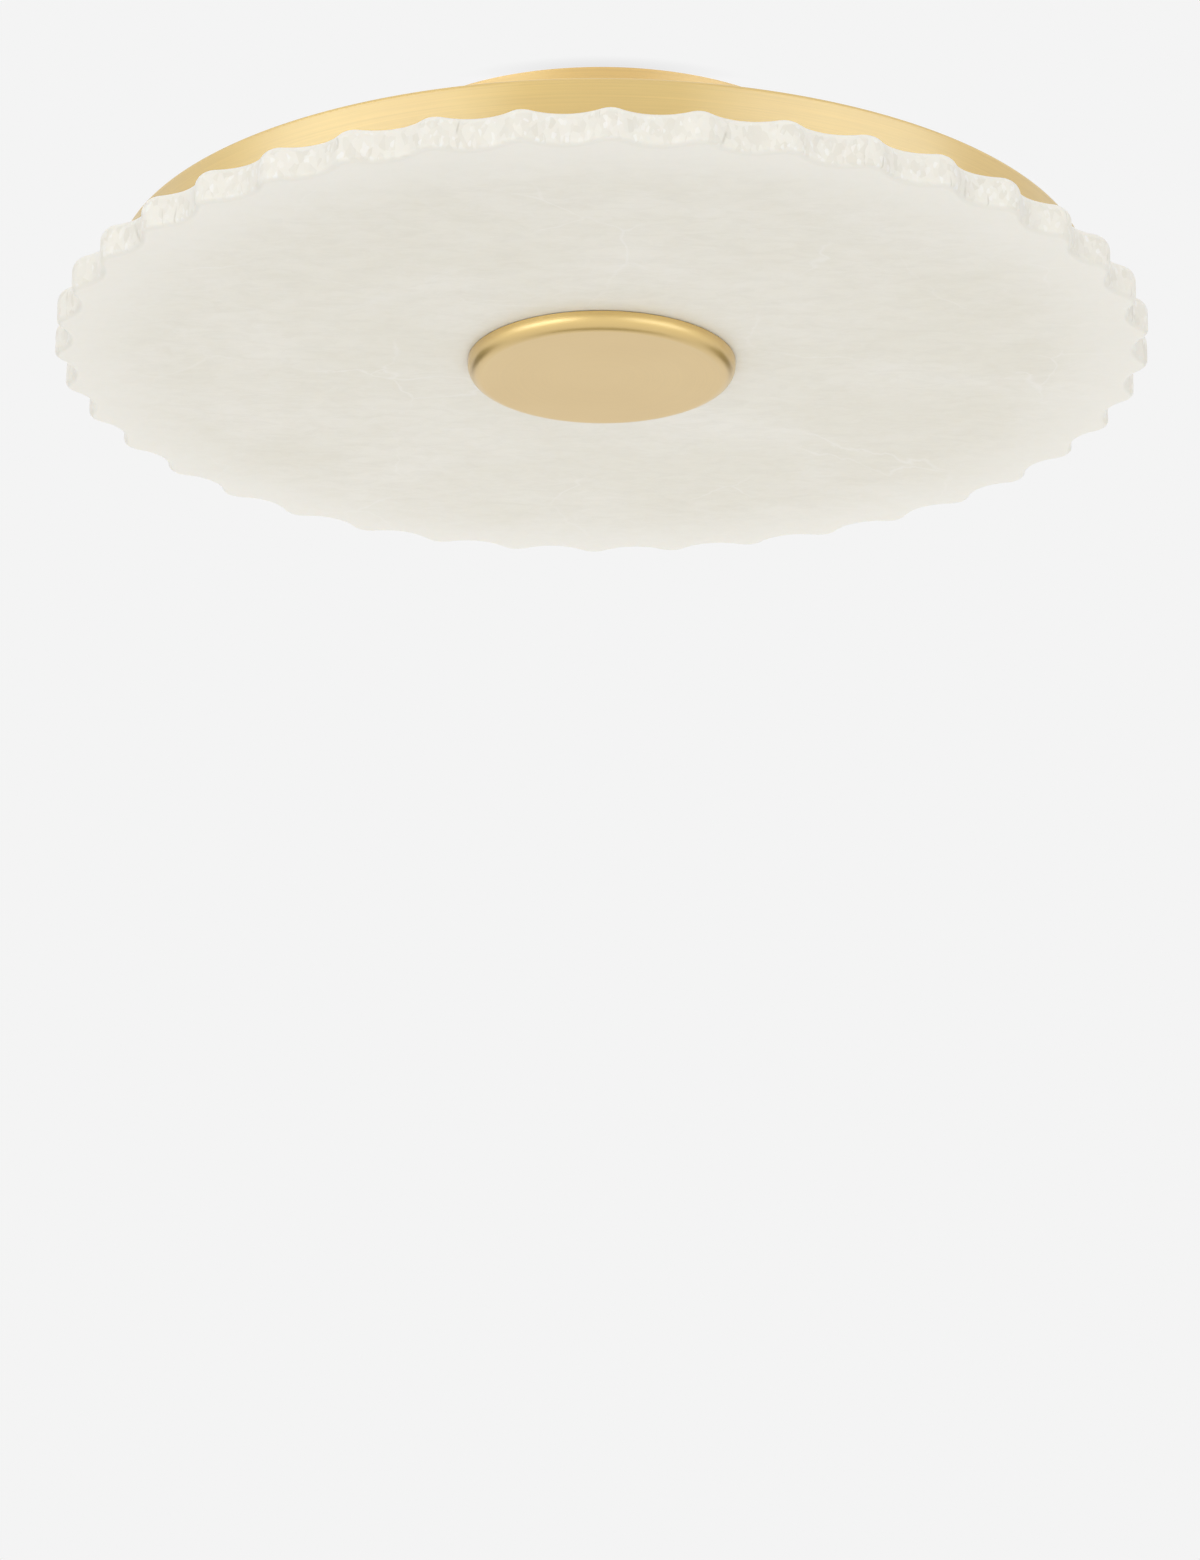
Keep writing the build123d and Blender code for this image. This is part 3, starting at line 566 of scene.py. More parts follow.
def thread_rows(radius, pitch, low, high, steps, chamfer):
    """Rows of points up a threaded bar, with its ends turned off."""
    # A metric thread is 0.61 of its pitch deep, and its crest and root are narrow flats.
    depth = 0.61 * pitch
    rows_per_turn = 6
    count = round((high - low) / pitch * rows_per_turn)
    rows = []
    for row in range(count + 1):
        height = low + (high - low) * row / count
        from_end = min(height - low, high - height)
        row_points = []
        for step in range(steps):
            turn = step / steps
            phase = (height / pitch - turn) % 1.0
            flank = min(1.0, max(0.0, 1.3 * abs(2 * phase - 1) - 0.15))
            reach = min(radius - depth * flank, radius - chamfer + from_end)
            angle = math.tau * turn
            row_points.append((reach * math.cos(angle), reach * math.sin(angle), height))
        rows.append(row_points)
    return rows


def bend(radius, middle, first, last, steps=14):
    """Two coordinates of points round a bend, from one angle to another in degrees."""
    turns = [math.radians(first + (last - first) * step / steps) for step in range(steps + 1)]
    return [(middle[0] + radius * math.cos(turn), middle[1] + radius * math.sin(turn)) for turn in turns]


def outline_radius(angle, inset, stone, disc_radius):
    """Radius of the disc's fluted outline, moved in by inset: crest arcs tangent to hollow flute arcs."""
    half_pitch = math.pi / stone.flutes
    crest_out = disc_radius - stone.crest_radius
    valley_out = disc_radius - stone.flute_depth
    flute_radius = (
        stone.crest_radius**2 - crest_out**2 - valley_out**2
        + 2 * crest_out * valley_out * math.cos(half_pitch)
    ) / (2 * (valley_out - crest_out * math.cos(half_pitch) - stone.crest_radius))
    flute_out = valley_out + flute_radius
    share = stone.crest_radius / (stone.crest_radius + flute_radius)
    meeting_x = crest_out + (flute_out * math.cos(half_pitch) - crest_out) * share
    meeting_y = flute_out * math.sin(half_pitch) * share
    crest = stone.crest_radius - inset
    flute = flute_radius + inset
    reach = inset / stone.crest_radius
    meeting_turn = math.atan2(meeting_y * (1 - reach), meeting_x + (crest_out - meeting_x) * reach)
    from_crest = abs((angle + half_pitch) % (2 * half_pitch) - half_pitch)
    if from_crest < meeting_turn:
        return crest_out * math.cos(from_crest) + math.sqrt(crest**2 - (crest_out * math.sin(from_crest))**2)
    from_flute = half_pitch - from_crest
    return flute_out * math.cos(from_flute) - math.sqrt(flute**2 - (flute_out * math.sin(from_flute))**2)


def stone_profile(stone, low, high):
    """Insets and heights down the disc's section, from its bore over the rim and back to the bore.

    An inset under 0 stands for a share of the way from the rim's rounding in to the bore.
    """
    top_rows, bend_steps, side_rows, face_rows, bore_rows = 8, 7, 5, 36, 3
    top, bottom = stone.round_top, stone.round_bottom
    rows = [(-share / top_rows, high, top) for share in range(top_rows, 0, -1)]
    rows += [(*point, 0) for point in bend(top, (top, high - top), 90, 180, bend_steps)]
    side = low + bottom - (high - top)
    rows += [(0.0, high - top + side * row / side_rows, 0) for row in range(1, side_rows)]
    rows += [(*point, 0) for point in bend(bottom, (bottom, low + bottom), 180, 270, bend_steps)]
    rows += [(-share / face_rows, low, bottom) for share in range(1, face_rows + 1)]
    return rows + [(-1.0, low + (high - low) * row / bore_rows, top) for row in range(1, bore_rows)]


def stone_mesh(stone):
    """The fluted disc, with the slight hollows that dressing and honing by hand leave in it."""
    low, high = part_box("alabaster_disc")
    disc_radius = (high.x - low.x) / 2
    columns_per_flute = 22
    columns = stone.flutes * columns_per_flute
    front = -math.pi / 2 + stone.turn
    form = Form()
    rows = []
    for inset, height, rounding in stone_profile(stone, low.z, high.z):
        row = []
        for column in range(columns):
            angle = math.tau * column / columns
            reach = outline_radius(angle, rounding if inset < 0 else inset, stone, disc_radius)
            if inset < 0:
                reach += (stone.bore / 2 - reach) * -inset
            row.append((reach * math.cos(angle + front), reach * math.sin(angle + front), height))
        rows.append(row)
    form.skin(rows + rows[:1])
    mesh = form.mesh("stone_disc", crease=60.0)
    normals = [vertex.normal.copy() for vertex in mesh.vertices]
    for vertex, normal in zip(mesh.vertices, normals):
        if math.hypot(vertex.co.x, vertex.co.y) < stone.bore:
            continue
        # Dressing leaves hollows about 11 mm across with finer ones in them, honing leaves wide ones
        dressed = 1 - abs(normal.z)
        broad = noise.fractal(vertex.co * per_metre(11), 0.9, 2.1, 3)
        fine = noise.noise(vertex.co * per_metre(3.2))
        honed = noise.noise(vertex.co * per_metre(38))
        hollow = stone.rim_relief * dressed * min(1.0, max(0.0, 0.5 + 0.5 * broad + 0.2 * fine))
        hollow += stone.face_relief * (1 - dressed) * (0.5 + 0.5 * honed)
        vertex.co -= normal * hollow
    return mesh


def pan_section(out, low, high, metals):
    """Radius and height down the pan's skirt, from its plate's upper border to the lower one."""
    middle = out - metals.pan_bend
    inside, ledge = out - metals.sheet, low + metals.sheet
    rows = bend(metals.pan_bend, (middle, high - metals.pan_bend), 90, 0)
    rows += [(out, high - metals.pan_bend - HOLD), (out, low + metals.pan_bend + HOLD)]
    rows += bend(metals.pan_bend, (middle, low + metals.pan_bend), 0, -90)
    rows += [(middle - HOLD, low), (out - metals.pan_lip, low), (out - metals.pan_lip, ledge)]
    return rows + [(inside, ledge), (inside, high - metals.sheet)]


def cup_section(out, low, high, sheet, round_edge):
    """Radius and height up a cup's wall and down inside, from its floor's lower border to the upper one."""
    middle = (out - round_edge, low + round_edge)
    wall = [(out, middle[1] + HOLD), (out, high), (out - sheet, high), (out - sheet, middle[1] + HOLD)]
    return bend(round_edge, middle, -90, 0) + wall + bend(round_edge - sheet, middle, 0, -90)


def spun_mesh(name, node, section):
    """A spun piece: the plate of its CAD node with all the holes, and a finer turned skirt round it."""
    borders = (section[0], section[-1])
    heights = [height for _radius, height in borders]
    # Faces this far in from the skirt belong to the holes, if they lie between the plate's two faces
    margin, near = 5 * MM, 5 * WELD
    reach = min(radius for radius, _height in borders) - margin
    plate = bmesh.new()
    plate.from_mesh(NODES[node].data)
    bmesh.ops.remove_doubles(plate, verts=plate.verts, dist=WELD)
    off_plate = []
    for face in plate.faces:
        far = max(math.hypot(corner.co.x, corner.co.y) for corner in face.verts)
        flat = any(
            far < radius + near and all(abs(corner.co.z - height) < near for corner in face.verts)
            for radius, height in borders)
        between = all(min(heights) - WELD < corner.co.z < max(heights) + WELD for corner in face.verts)
        if not flat and not (between and far < reach):
            off_plate.append(face)
    bmesh.ops.delete(plate, geom=off_plate, context="FACES")
    # The plate's two round borders get four points for each of the CAD's, drawn in to leave room for HOLD
    edges = [edge for edge in plate.edges if edge.is_boundary]
    cuts = 3
    columns = len(edges) // 2 * (cuts + 1)
    bmesh.ops.subdivide_edges(plate, edges=edges, cuts=cuts)
    for corner in plate.verts:
        if corner.is_boundary:
            radius = min(borders, key=lambda border: abs(border[1] - corner.co.z))[0] - HOLD
            column = round(math.atan2(corner.co.y, corner.co.x) / math.tau * columns)
            turn = math.tau * column / columns
            corner.co.x, corner.co.y = radius * math.cos(turn), radius * math.sin(turn)
    cut = bpy.data.meshes.new(name + "_plate")
    plate.to_mesh(cut)
    plate.free()
    form = Form()
    form.add_mesh(cut, (0, 0, 0))
    bpy.data.meshes.remove(cut)
    held = [(radius - HOLD, height) for radius, height in borders]
    form.turned(held[:1] + section + held[1:], columns)
    return form.mesh(name)


def screw_mesh(name, shank, pitch, length_up, head, head_height):
    """A pan head screw with a cross recess, head down, its shank standing up from z = 0."""
    steps = 24
    form = Form()
    dome = [
        (0.0, -head_height), (head * 0.28, -head_height * 0.985), (head * 0.38, -head_height * 0.86),
        (head * 0.46, -head_height * 0.6), (head / 2, -head_height * 0.25), (head / 2, -head_height * 0.08),
        (head * 0.485, 0.0),
    ]
    thread = thread_rows(shank / 2, pitch, 0.0, length_up, steps, chamfer=shank / 12)
    form.skin([ring_at(radius, height, steps) for radius, height in dome] + thread
              + [ring_at(0.0, length_up, steps)])
    carved = form.mesh(name)
    arm, half, depth = head * 0.3, head * 0.055, head_height * 0.62
    for reach_x, reach_y in ((arm, half), (half, arm)):
        arms = Form()
        arms.box(
            (-reach_x, -reach_y, -head_height - depth), (reach_x, reach_y, -head_height + depth), half / 3)
        body = bpy.data.objects.new(name, carved)
        cutter = bpy.data.objects.new("cutter", arms.mesh("cutter"))
        bpy.context.scene.collection.objects.link(body)
        bpy.context.scene.collection.objects.link(cutter)
        cut = body.modifiers.new("recess", "BOOLEAN")
        cut.object, cut.operation, cut.solver = cutter, "DIFFERENCE", "EXACT"
        carved = bpy.data.meshes.new_from_object(body.evaluated_get(bpy.context.evaluated_depsgraph_get()))
        bpy.data.objects.remove(cutter)
        bpy.data.objects.remove(body)
    return carved


def repeated(name, mesh, node):
    """One mesh that holds a copy at each solid of a CAD node, head down at the solid's foot."""
    form = Form()
    foot = min(vertex.co.z for vertex in mesh.vertices)
    for low, high in solids(node):
        middle = (low + high) / 2
        form.add_mesh(mesh, (middle.x, middle.y, low.z - foot))
    return form.mesh(name)


class CEILINGLIGHT_OT_stone(bpy.types.Operator):
    """Adds the fluted alabaster disc"""

    bl_idname = "ceiling_light.stone"
    bl_label = "Alabaster Disc"

    def execute(self, context):
        stone = context.scene.ceiling_light_stone
        add_piece(
            "fluted_stone", stone_mesh(stone), [alabaster(stone)], "disc", "alabaster", "alabaster_disc")
        return {"FINISHED"}


class CEILINGLIGHT_OT_brass(bpy.types.Operator):
    """Finishes the spun brass shells and the turned brass pieces"""

    bl_idname = "ceiling_light.brass"
    bl_label = "Brass"

    def execute(self, context):
        metals = context.scene.ceiling_light_metals
        # Piece, CAD node, body, section and its sizes; then name, tint and measures of the finish
        spun = (
            ("spun_pan", "pan", "fixture", pan_section, (metals,),
             ("satin_brushed_brass", metals.brass, 0.04, 0.7, 0.4, 0.17)),
            # The canopy and the cap take the deeper brass, whose extra orange is a painted reflection of the
            # pan's brass
            ("spun_canopy", "canopy", "fixture", cup_section, (metals.sheet, metals.canopy_bend),
             ("satin_brushed_brass_small", metals.deeper_painted_brass, 0.04, 0.66, 0.4, 0.17)),
            ("spun_cap", "cap_shell", "cap", cup_section, (metals.cap_sheet, metals.cap_bend),
             ("satin_brass_fine", metals.deeper_painted_brass, 0.015, 0.45, 0.0, 0.3)),
        )
        for name, node, body, section, sizes, finish in spun:
            low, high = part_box(node)
            mesh = spun_mesh(name, node, section(high.x, low.z, high.z, *sizes))
            add_piece(name, mesh, [satin_brass(*finish)], body, "brushed_brass", node)
        dress(turned_brass(metals.turned_brass), "cap_hub", "thumb_nuts")
        return {"FINISHED"}


class CEILINGLIGHT_OT_steel(bpy.types.Operator):
    """Finishes the crossbar, nuts and washers"""

    bl_idname = "ceiling_light.steel"
    bl_label = "Crossbar, Nuts and Washers"

    def execute(self, context):
        metals = context.scene.ceiling_light_metals
        plate = bright_metal("bright_zinc_plate", metals.zinc, metals.straw)
        dress(
            plate, "mounting_crossbar", "stud_lock_nuts", "stud_washers", "rod_top_nut", "rod_top_washer",
            "rod_clamp_nut", "rod_clamp_washer", "height_nut", "backing_washer", "clamp_nuts",
        )
        return {"FINISHED"}


class CEILINGLIGHT_OT_threads(bpy.types.Operator):
    """Adds the hollow rod, the studs and the screws with their threads"""

    bl_idname = "ceiling_light.threads"
    bl_label = "Threaded Pieces"

    def execute(self, context):
        metals = context.scene.ceiling_light_metals
        plate = bpy.data.materials["bright_zinc_plate"]
        low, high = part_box("center_rod")
        rod = Form()
        steps = 48
        outside = thread_rows(high.x, metals.rod_pitch, low.z, high.z, steps, chamfer=0.6 * MM)
        inside = [ring_at(metals.rod_bore / 2, height, steps) for height in (high.z, low.z)]
        rod.skin(outside + inside + outside[:1])
        add_piece(
            "threaded_rod", rod.mesh("threaded_rod"), [plate], "fixture", "zinc_plated_steel", "center_rod")

        studs = Form()
        steps = 20
        for low, high in solids("crossbar_studs"):
            middle = (low + high) / 2
            rows = thread_rows(
                (high.x - low.x) / 2, metals.stud_pitch, low.z, high.z, steps, chamfer=0.4 * MM)
            rows = [ring_at(0.0, low.z, steps), *rows, ring_at(0.0, high.z, steps)]
            studs.skin(move_rows(rows, (middle.x, middle.y, 0.0)))
        add_piece(
            "threaded_studs", studs.mesh("threaded_studs"), [plate], "fixture", "zinc_plated_steel",
            "crossbar_studs")

        green = bright_metal("green_dyed_zinc", metals.green_zinc)
        # Node, piece, shank's diameter and head's height in millimetres, pitch, finish and slot
        screws = (
            ("clamp_screws", "cross_clamp_screws", 4.0, 2.6, metals.clamp_pitch, plate, "zinc_plated_steel"),
            ("board_screws", "cross_board_screws", 3.0, 1.8, metals.board_pitch, plate, "zinc_plated_steel"),
            ("ground_screw", "cross_ground_screw", 4.8, 2.8, metals.stud_pitch, green, "green_ground_screw"),
        )
        for node, name, shank, head_height, pitch, finish, slot in screws:
            low, high = solids(node)[0]
            screw = screw_mesh(
                name, shank * MM, pitch, high.z - low.z - head_height * MM, high.x - low.x, head_height * MM)
            add_piece(name, repeated(name, screw, node), [finish], "fixture", slot, node)
        return {"FINISHED"}


class CEILINGLIGHT_OT_seals(bpy.types.Operator):
    """Finishes the gaskets, the bush and the grommet, and adds the domed bumpers"""

    bl_idname = "ceiling_light.seals"
    bl_label = "Gaskets, Bush, Bumpers and Grommet"

    def execute(self, context):
        fittings = context.scene.ceiling_light_fittings
        # Silicone is soft and slightly waxy, nylon milky and harder, and rubber nearly black and dull
        dress(moulded("moulded_white_silicone", fittings.silicone, 0.5, 0.6, 0.02, ior=1.41),
              "upper_gasket", "cap_gasket")
        dress(moulded("natural_nylon", fittings.nylon, 0.42, 0.5, 0.01, ior=1.53), "centering_bush")
        dress(moulded("moulded_black_rubber", fittings.rubber, 0.6, 0.5, 0.03, ior=1.52), "wire_grommet")
        form = Form()
        for low, high in solids("disc_bumpers"):
            middle = (low + high) / 2
            radius, rise = (high.x - low.x) / 2, high.z - low.z
            arc = [math.pi / 2 * step / 8 for step in range(9)]
            dome = [(radius * (0.45 + 0.55 * math.sin(a)), -rise * (0.3 + 0.7 * math.cos(a))) for a in arc]
            form.turned(
                [(0.0, -rise)] + dome + [(radius, 0.0), (0.0, 0.0)], 32, (middle.x, middle.y, high.z))
        add_piece(
            "domed_bumpers", form.mesh("domed_bumpers"), [clear_silicone(fittings.silicone)], "fixture",
            "clear_silicone", "disc_bumpers")
        return {"FINISHED"}


class CEILINGLIGHT_OT_light_engine(bpy.types.Operator):
    """Finishes the reflector, the thermal pad and the board, and adds the LEDs"""

    bl_idname = "ceiling_light.light_engine"
    bl_label = "Light Engine"

    def execute(self, context):
        fittings = context.scene.ceiling_light_fittings
        # The powder coat has a wide orange peel, the filled pad is dull, and the LEDs' resin is smooth
        dress(moulded("white_powder_coat", fittings.powder_coat, 0.45, 1.1, 0.05), "reflector_plate")
        dress(moulded("filled_silicone_sheet", fittings.thermal_pad, 0.7, 0.8, 0.04), "thermal_pad")
        dress(solder_mask("white_solder_mask", fittings.white_mask, 0.93, 14.0), "led_board")
        package = moulded("white_led_package", fittings.white_mask, 0.4, 0.6, 0.01)
        phosphor = moulded("led_phosphor", fittings.phosphor, 0.35, 0.3, 0.02, ior=1.45)
        form = Form()
        low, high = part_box("led_chips")
        self.add_chips(form, low.z, high.z)
        add_piece("led_packages", form.mesh("led_packages"), [package, phosphor], "fixture", "led_phosphor",
                  "led_chips")
        return {"FINISHED"}

    def add_chips(self, form, low, high):
        """One package at each solid: a shallow frame round a filled well."""
        frame_width, well_depth = 0.35 * MM, 0.15 * MM
        chip_length, chip_width = 3.5 * MM, 2.8 * MM
        for corner_low, corner_high in solids("led_chips"):
            middle = (corner_low + corner_high) / 2
            turn = Matrix.Rotation(math.atan2(middle.y, middle.x), 3, "Z")
            levels = ((0.0, high), (0.0, low), (frame_width, low), (frame_width * 1.5, low + well_depth))
            rows = []
            for inset, height in levels:
                half = Vector((chip_width / 2 - inset, chip_length / 2 - inset, 0))
                signs = ((1, 1), (-1, 1), (-1, -1), (1, -1))
                corners = [turn @ Vector((half.x * sx, half.y * sy, 0)) for sx, sy in signs]
                rows.append([(middle.x + c.x, middle.y + c.y, height) for c in corners])
            form.skin(rows)
            for row, finish in ((rows[-1], 1), (rows[0], 0)):
                form.skin([[row[0], row[1]], [row[3], row[2]]], closed=False, finish=finish)


class CEILINGLIGHT_OT_driver(bpy.types.Operator):
    """Finishes the driver's box and circuit, and adds its transformer and capacitors"""

    bl_idname = "ceiling_light.driver"
    bl_label = "Driver"

    def execute(self, context):
        fittings = context.scene.ceiling_light_fittings
        # ABS has a fine satin grain, ferrite is dark and dull, and the tape and sleeves are glossy films
        dress(moulded("moulded_white_abs", fittings.abs_white, 0.42, 0.7, 0.03, ior=1.53),
              "driver_case", "driver_lid", "board_connector")
        dress(solder_mask("green_solder_mask", fittings.green_mask, 1.5, 3.0), "driver_circuit")
        ferrite = moulded("sintered_ferrite", fittings.ferrite, 0.55, 0.4, 0.03)
        tape = moulded("polyester_tape", fittings.tape, 0.25, 2.0, 0.03)
        low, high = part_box("driver_transformer")
        core = Form()
        yoke, bevel, tape_round = (high.x - low.x) * 0.2, 0.4 * MM, 1.6 * MM
        core_top, tape_inset = high.z - 1.2 * MM, 1.5 * MM
        core.box(low, (low.x + yoke, high.y, core_top), bevel)
        core.box((high.x - yoke, low.y, low.z), (high.x, high.y, core_top), bevel)
        core.box((low.x + yoke, low.y + tape_inset, low.z), (high.x - yoke, high.y - tape_inset, high.z),
                 tape_round, finish=1)
        add_piece("wound_transformer", core.mesh("wound_transformer"), [ferrite, tape], "fixture",
                  "taped_transformer", "driver_transformer")
        sleeve = moulded("black_shrink_sleeve", fittings.sleeve, 0.25, 1.5, 0.01)
        can = bright_metal("drawn_aluminium_can", fittings.can)
        cans = Form()
        for low, high in solids("driver_capacitors"):
            middle = (low + high) / 2
            radius, rise = (high.x - low.x) / 2, high.z - low.z
            foot = (middle.x, middle.y, low.z)
            side = [
                (0.0, 0.0), (radius * 0.9, 0.0), (radius, 0.4 * MM), (radius, 1.4 * MM),
                (radius * 0.93, 1.9 * MM), (radius, 2.4 * MM), (radius, rise - 0.7 * MM),
                (radius * 0.93, rise - 0.15 * MM), (radius * 0.86, rise), (radius * 0.82, rise - 0.2 * MM),
            ]
            cans.turned(side, 32, foot)
            cans.turned(
                [side[-1], (radius * 0.1, rise - 0.2 * MM), (0.0, rise - 0.3 * MM)], 32, foot, finish=1)
        add_piece("sleeved_capacitors", cans.mesh("sleeved_capacitors"), [sleeve, can], "fixture",
                  "capacitor_sleeve", "driver_capacitors")
        return {"FINISHED"}


class CEILINGLIGHT_OT_wiring(bpy.types.Operator):
    """Finishes the terminal block and the two leads"""

    bl_idname = "ceiling_light.wiring"
    bl_label = "Terminal Block and Leads"

    def execute(self, context):
        fittings = context.scene.ceiling_light_fittings
        # Polyamide is duller than ABS, and the silicone insulation has a soft satin skin
        dress(moulded("moulded_grey_polyamide", fittings.polyamide, 0.5, 0.6, 0.03, ior=1.53),
              "mains_terminal_block")
        dress(moulded("red_silicone_insulation", fittings.red, 0.4, 1.2, 0.02, ior=1.41),
              "led_lead_positive")
        dress(moulded("black_silicone_insulation", fittings.black, 0.4, 1.2, 0.02, ior=1.41),
              "led_lead_negative")
        return {"FINISHED"}


class CEILINGLIGHT_OT_stage(bpy.types.Operator):
    """Adds the ceiling, the surroundings, the lamps and the camera"""

    bl_idname = "ceiling_light.stage"
    bl_label = "Stage"

    def execute(self, context):
        stage = context.scene.ceiling_light_stage
        self.add_ceiling(stage)
        self.add_sky(context.scene, stage)
        self.add_lamps(stage)
        self.add_dark_cards(stage)
        self.add_camera(context.scene, stage)
        context.scene.view_settings.view_transform = "Standard"
        return {"FINISHED"}

    def seen_directly(self, tree):
        """1 for camera, glossy and transmission rays, and 0 for the rays that light the object."""
        path = add_node(tree, "LightPath").outputs
        seen = add_node(
            tree, "Math", {"Value": path["Is Camera Ray"], "Value_001": path["Is Glossy Ray"]},
            operation="MAXIMUM")
        return add_node(
            tree, "Math", {"Value": seen, "Value_001": path["Is Transmission Ray"]}, operation="MAXIMUM")

    def add_ceiling(self, stage):
        """A plain ceiling that only the camera sees, from below, with the shade close to the canopy.

        Other rays pass it and meet the surroundings, which have the same colour.
        """
        half_width = 8.0
        corners = [(half_width * x, half_width * y, 0) for x, y in ((-1, -1), (-1, 1), (1, 1), (1, -1))]
        mesh = bpy.data.meshes.new("ceiling")
        mesh.from_pydata(corners, [], [(0, 1, 2, 3)])
        ceiling = bpy.data.objects.new("ceiling", mesh)
        bpy.context.scene.collection.objects.link(ceiling)
        material, tree, place = start_material("matt_ceiling_paint")
        shade = add_node(
            tree, "AmbientOcclusion", {"Color": stage.backdrop, "Distance": 12 * MM}, samples=8)
        # The shade falls in front of the canopy alone, whose wall stands 95 mm from the axis
        forward = add_node(tree, "SeparateXYZ", {"Vector": place}).outputs["Y"]
        shaded = lay_over(
            tree, stage.backdrop, shade.outputs["Color"], forward, (-102 * MM, -84 * MM), (0.4, 0.0))
        paint = add_node(tree, "Emission", {"Color": shaded, "Strength": 1.0})
        clear = add_node(tree, "BsdfTransparent")
        behind = add_node(tree, "NewGeometry").outputs["Backfacing"]
        front = add_node(tree, "Math", {"Value": 1.0, "Value_001": behind}, operation="SUBTRACT")
        camera_ray = add_node(tree, "LightPath").outputs["Is Camera Ray"]
        shown = add_node(tree, "Math", {"Value": front, "Value_001": camera_ray}, operation="MULTIPLY")
        mixed = add_node(tree, "MixShader", {"Fac": shown, "Shader": clear, "Shader_001": paint})
        add_node(tree, "OutputMaterial", {"Surface": mixed})
        mesh.materials.append(material)

    def add_sky(self, scene, stage):
        """Even light from all round, which the camera and the metals see as the backdrop's colour."""
        world = bpy.data.worlds.new("pale_surroundings")
        world.use_nodes = True
        tree = world.node_tree
        tree.nodes.clear()
        lit = add_node(tree, "Background", {"Color": linear("#FFFFFF"), "Strength": stage.sky_strength})
        seen = add_node(tree, "Background", {"Color": stage.backdrop, "Strength": 1.0})
        mixed = add_node(
            tree, "MixShader", {"Fac": self.seen_directly(tree), "Shader": lit, "Shader_001": seen})
        add_node(tree, "OutputWorld", {"Surface": mixed})
        scene.world = world

    def add_lamps(self, stage):
        """Soft lamps: four at the sides for gloss alone, and one in front and one behind for the rest."""
        target = Vector((0, 0, CAD_BOX[0].z))
        # Name, place, length and width, power, and the rays that show the lamp
        lamps = (
            ("high_left_lamp", (-2.15, -1.45, 1.0), (3.8, 0.25), stage.side_power, "glossy"),
            ("high_right_lamp", (2.15, -1.45, 1.0), (3.8, 0.25), stage.side_power, "glossy"),
            ("low_left_lamp", (-1.9, -1.7, -0.35), (2.4, 1.3), stage.low_left_power, "glossy"),
            ("low_right_lamp", (1.9, -1.7, -0.35), (2.4, 1.3), stage.low_right_power, "glossy"),
            ("front_lamp", (-0.5, -2.4, 0.8), (1.0, 1.0), stage.front_power, "diffuse"),
            ("back_lamp", (0.2, 2.0, -1.7), (1.6, 1.0), stage.back_power, "diffuse"),
        )
        for name, place, size, power, rays in lamps:
            lamp = bpy.data.lights.new(name, "AREA")
            lamp.shape, lamp.size, lamp.size_y, lamp.energy = "RECTANGLE", size[0], size[1], power
            holder = bpy.data.objects.new(name, lamp)
            if rays == "glossy":
                lamp.color = stage.gloss_lamp[:3]
            holder.visible_glossy = rays == "glossy"
            holder.visible_diffuse = rays == "diffuse"
            holder.location = place
            holder.rotation_euler = (target - Vector(place)).to_track_quat("-Z", "Y").to_euler()
            bpy.context.scene.collection.objects.link(holder)

    def add_dark_cards(self, stage):
        """Three dark cards low behind the object, seen in the metals alone, so that rounded edges show."""
        # First and last bearing from the front, then lower and upper edge below level, all in degrees
        cards = ((117, 150, 34, 7), (210, 243, 34, 7), (120, 240, 85, 62))
        steps, reach = 12, 1.6
        card = Form()
        for first, last, low, high in cards:
            bearings = [math.radians(first + (last - first) * step / steps) for step in range(steps + 1)]
            edges = []
            for drop in (math.radians(low), math.radians(high)):
                flat, height = reach * math.cos(drop), CAD_BOX[0].z - reach * math.sin(drop)
                edges.append([(flat * math.sin(b), -flat * math.cos(b), height) for b in bearings])
            card.skin(edges, closed=False)
        mesh = card.mesh("dark_card")
        material, tree, _place = start_material("black_card")
        add_node(tree, "OutputMaterial", {"Surface": add_node(tree, "Emission", {"Color": stage.dark_card})})
        mesh.materials.append(material)
        holder = bpy.data.objects.new("dark_card", mesh)
        holder.visible_camera = holder.visible_diffuse = holder.visible_shadow = False
        holder.visible_transmission = holder.visible_volume_scatter = False
        bpy.context.scene.collection.objects.link(holder)

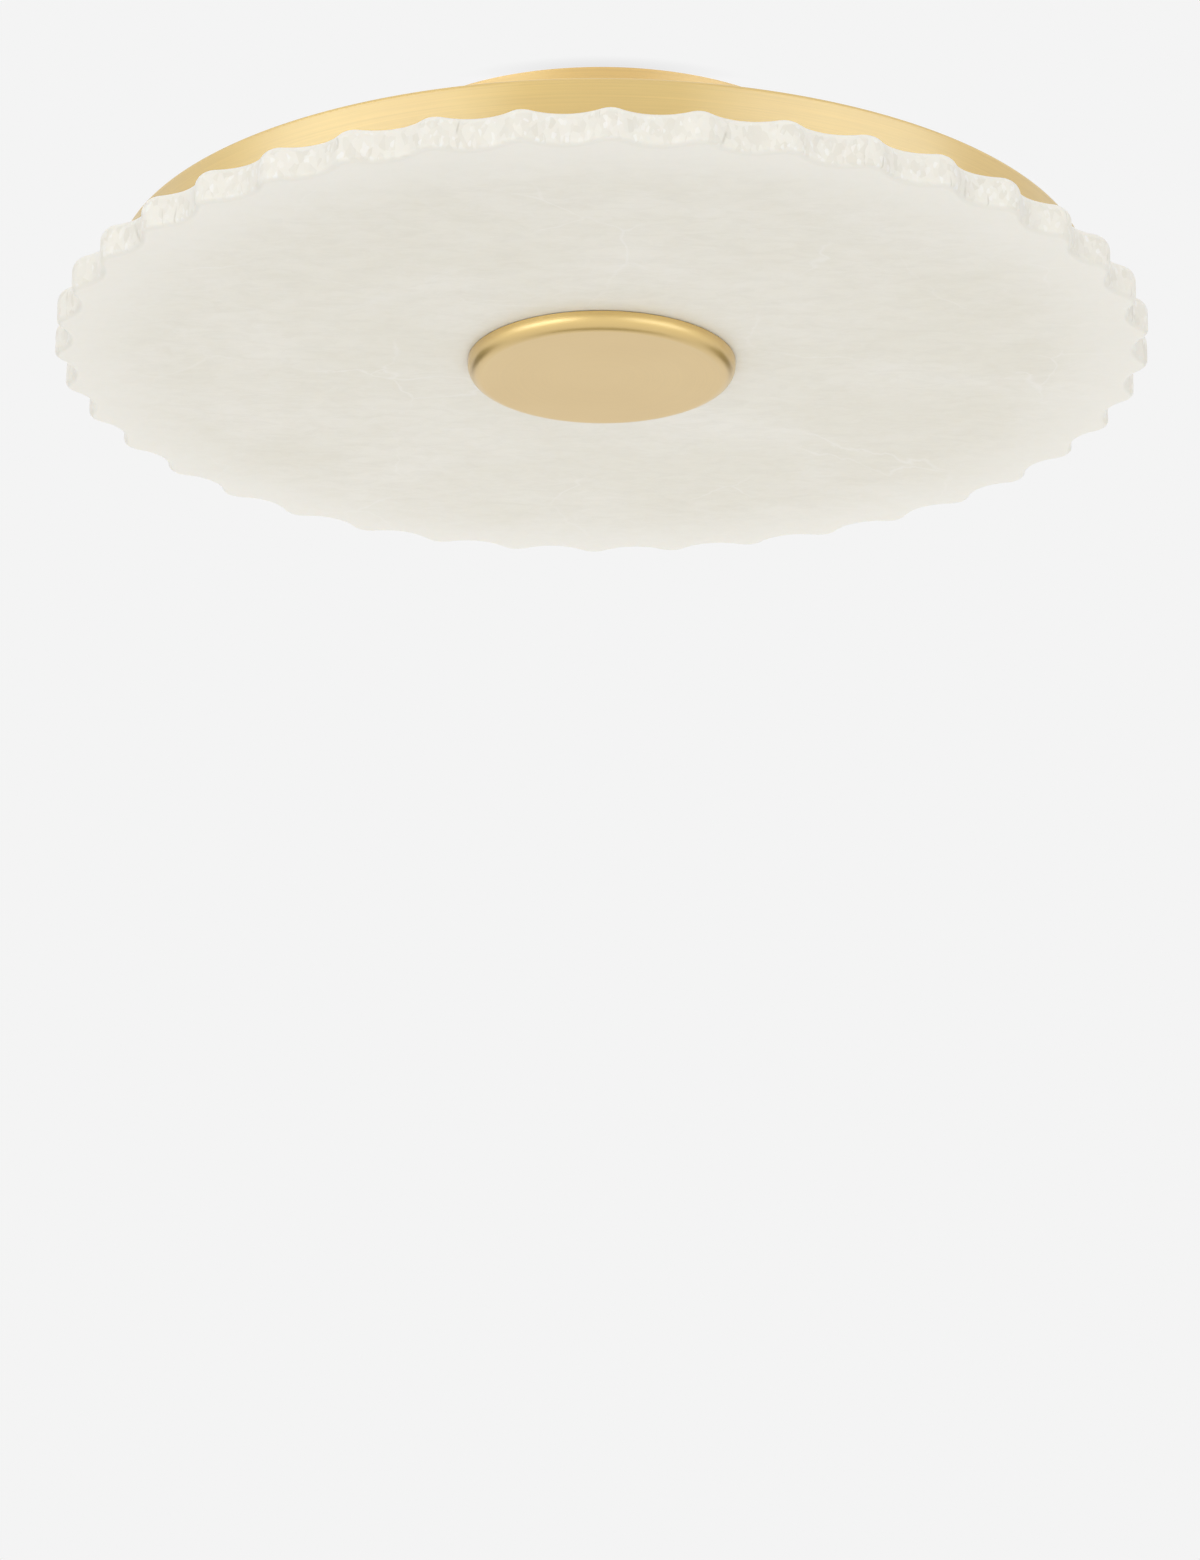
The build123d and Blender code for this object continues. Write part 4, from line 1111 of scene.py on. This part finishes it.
    def add_camera(self, scene, stage):
        """The photograph's point of view, from below and in front."""
        lens = bpy.data.cameras.new("camera")
        lens.lens, lens.sensor_width = stage.focal_length, 36.0
        camera = bpy.data.objects.new("camera", lens)
        place = Matrix.Translation((0, -stage.camera_distance, -stage.camera_drop))
        tilt = Matrix.Rotation(math.pi / 2 + stage.camera_pitch, 4, "X")
        camera.matrix_world = place @ tilt @ Matrix.Rotation(stage.camera_roll, 4, "Z")
        scene.collection.objects.link(camera)
        scene.camera = camera


OPERATORS = (
    CEILINGLIGHT_OT_stage,
    CEILINGLIGHT_OT_stone,
    CEILINGLIGHT_OT_brass,
    CEILINGLIGHT_OT_steel,
    CEILINGLIGHT_OT_threads,
    CEILINGLIGHT_OT_seals,
    CEILINGLIGHT_OT_light_engine,
    CEILINGLIGHT_OT_driver,
    CEILINGLIGHT_OT_wiring,
)

SETTINGS = {
    "ceiling_light_stone": StoneSettings,
    "ceiling_light_metals": MetalSettings,
    "ceiling_light_fittings": FittingSettings,
    "ceiling_light_stage": StageSettings,
}


class CEILINGLIGHT_PT_panel(bpy.types.Panel):
    """Lists the steps that dress the ceiling light"""

    bl_label = "Ceiling Light"
    bl_space_type = "VIEW_3D"
    bl_region_type = "UI"
    bl_category = "Ceiling Light"

    def draw(self, context):
        for step in OPERATORS:
            self.layout.operator(step.bl_idname)
        for group, settings in SETTINGS.items():
            box = self.layout.box()
            for name in settings.__annotations__:
                box.prop(getattr(context.scene, group), name)


def register():
    for group in (*SETTINGS.values(), *OPERATORS, CEILINGLIGHT_PT_panel):
        bpy.utils.register_class(group)
    for name, settings in SETTINGS.items():
        setattr(bpy.types.Scene, name, PointerProperty(type=settings))


def unregister():
    for name in SETTINGS:
        delattr(bpy.types.Scene, name)
    for group in reversed((*SETTINGS.values(), *OPERATORS, CEILINGLIGHT_PT_panel)):
        bpy.utils.unregister_class(group)


def main():
    """Registers the add-on and runs every step."""
    register()
    for step in OPERATORS:
        group, name = step.bl_idname.split(".")
        getattr(getattr(bpy.ops, group), name)()


if __name__ == "__main__":
    main()
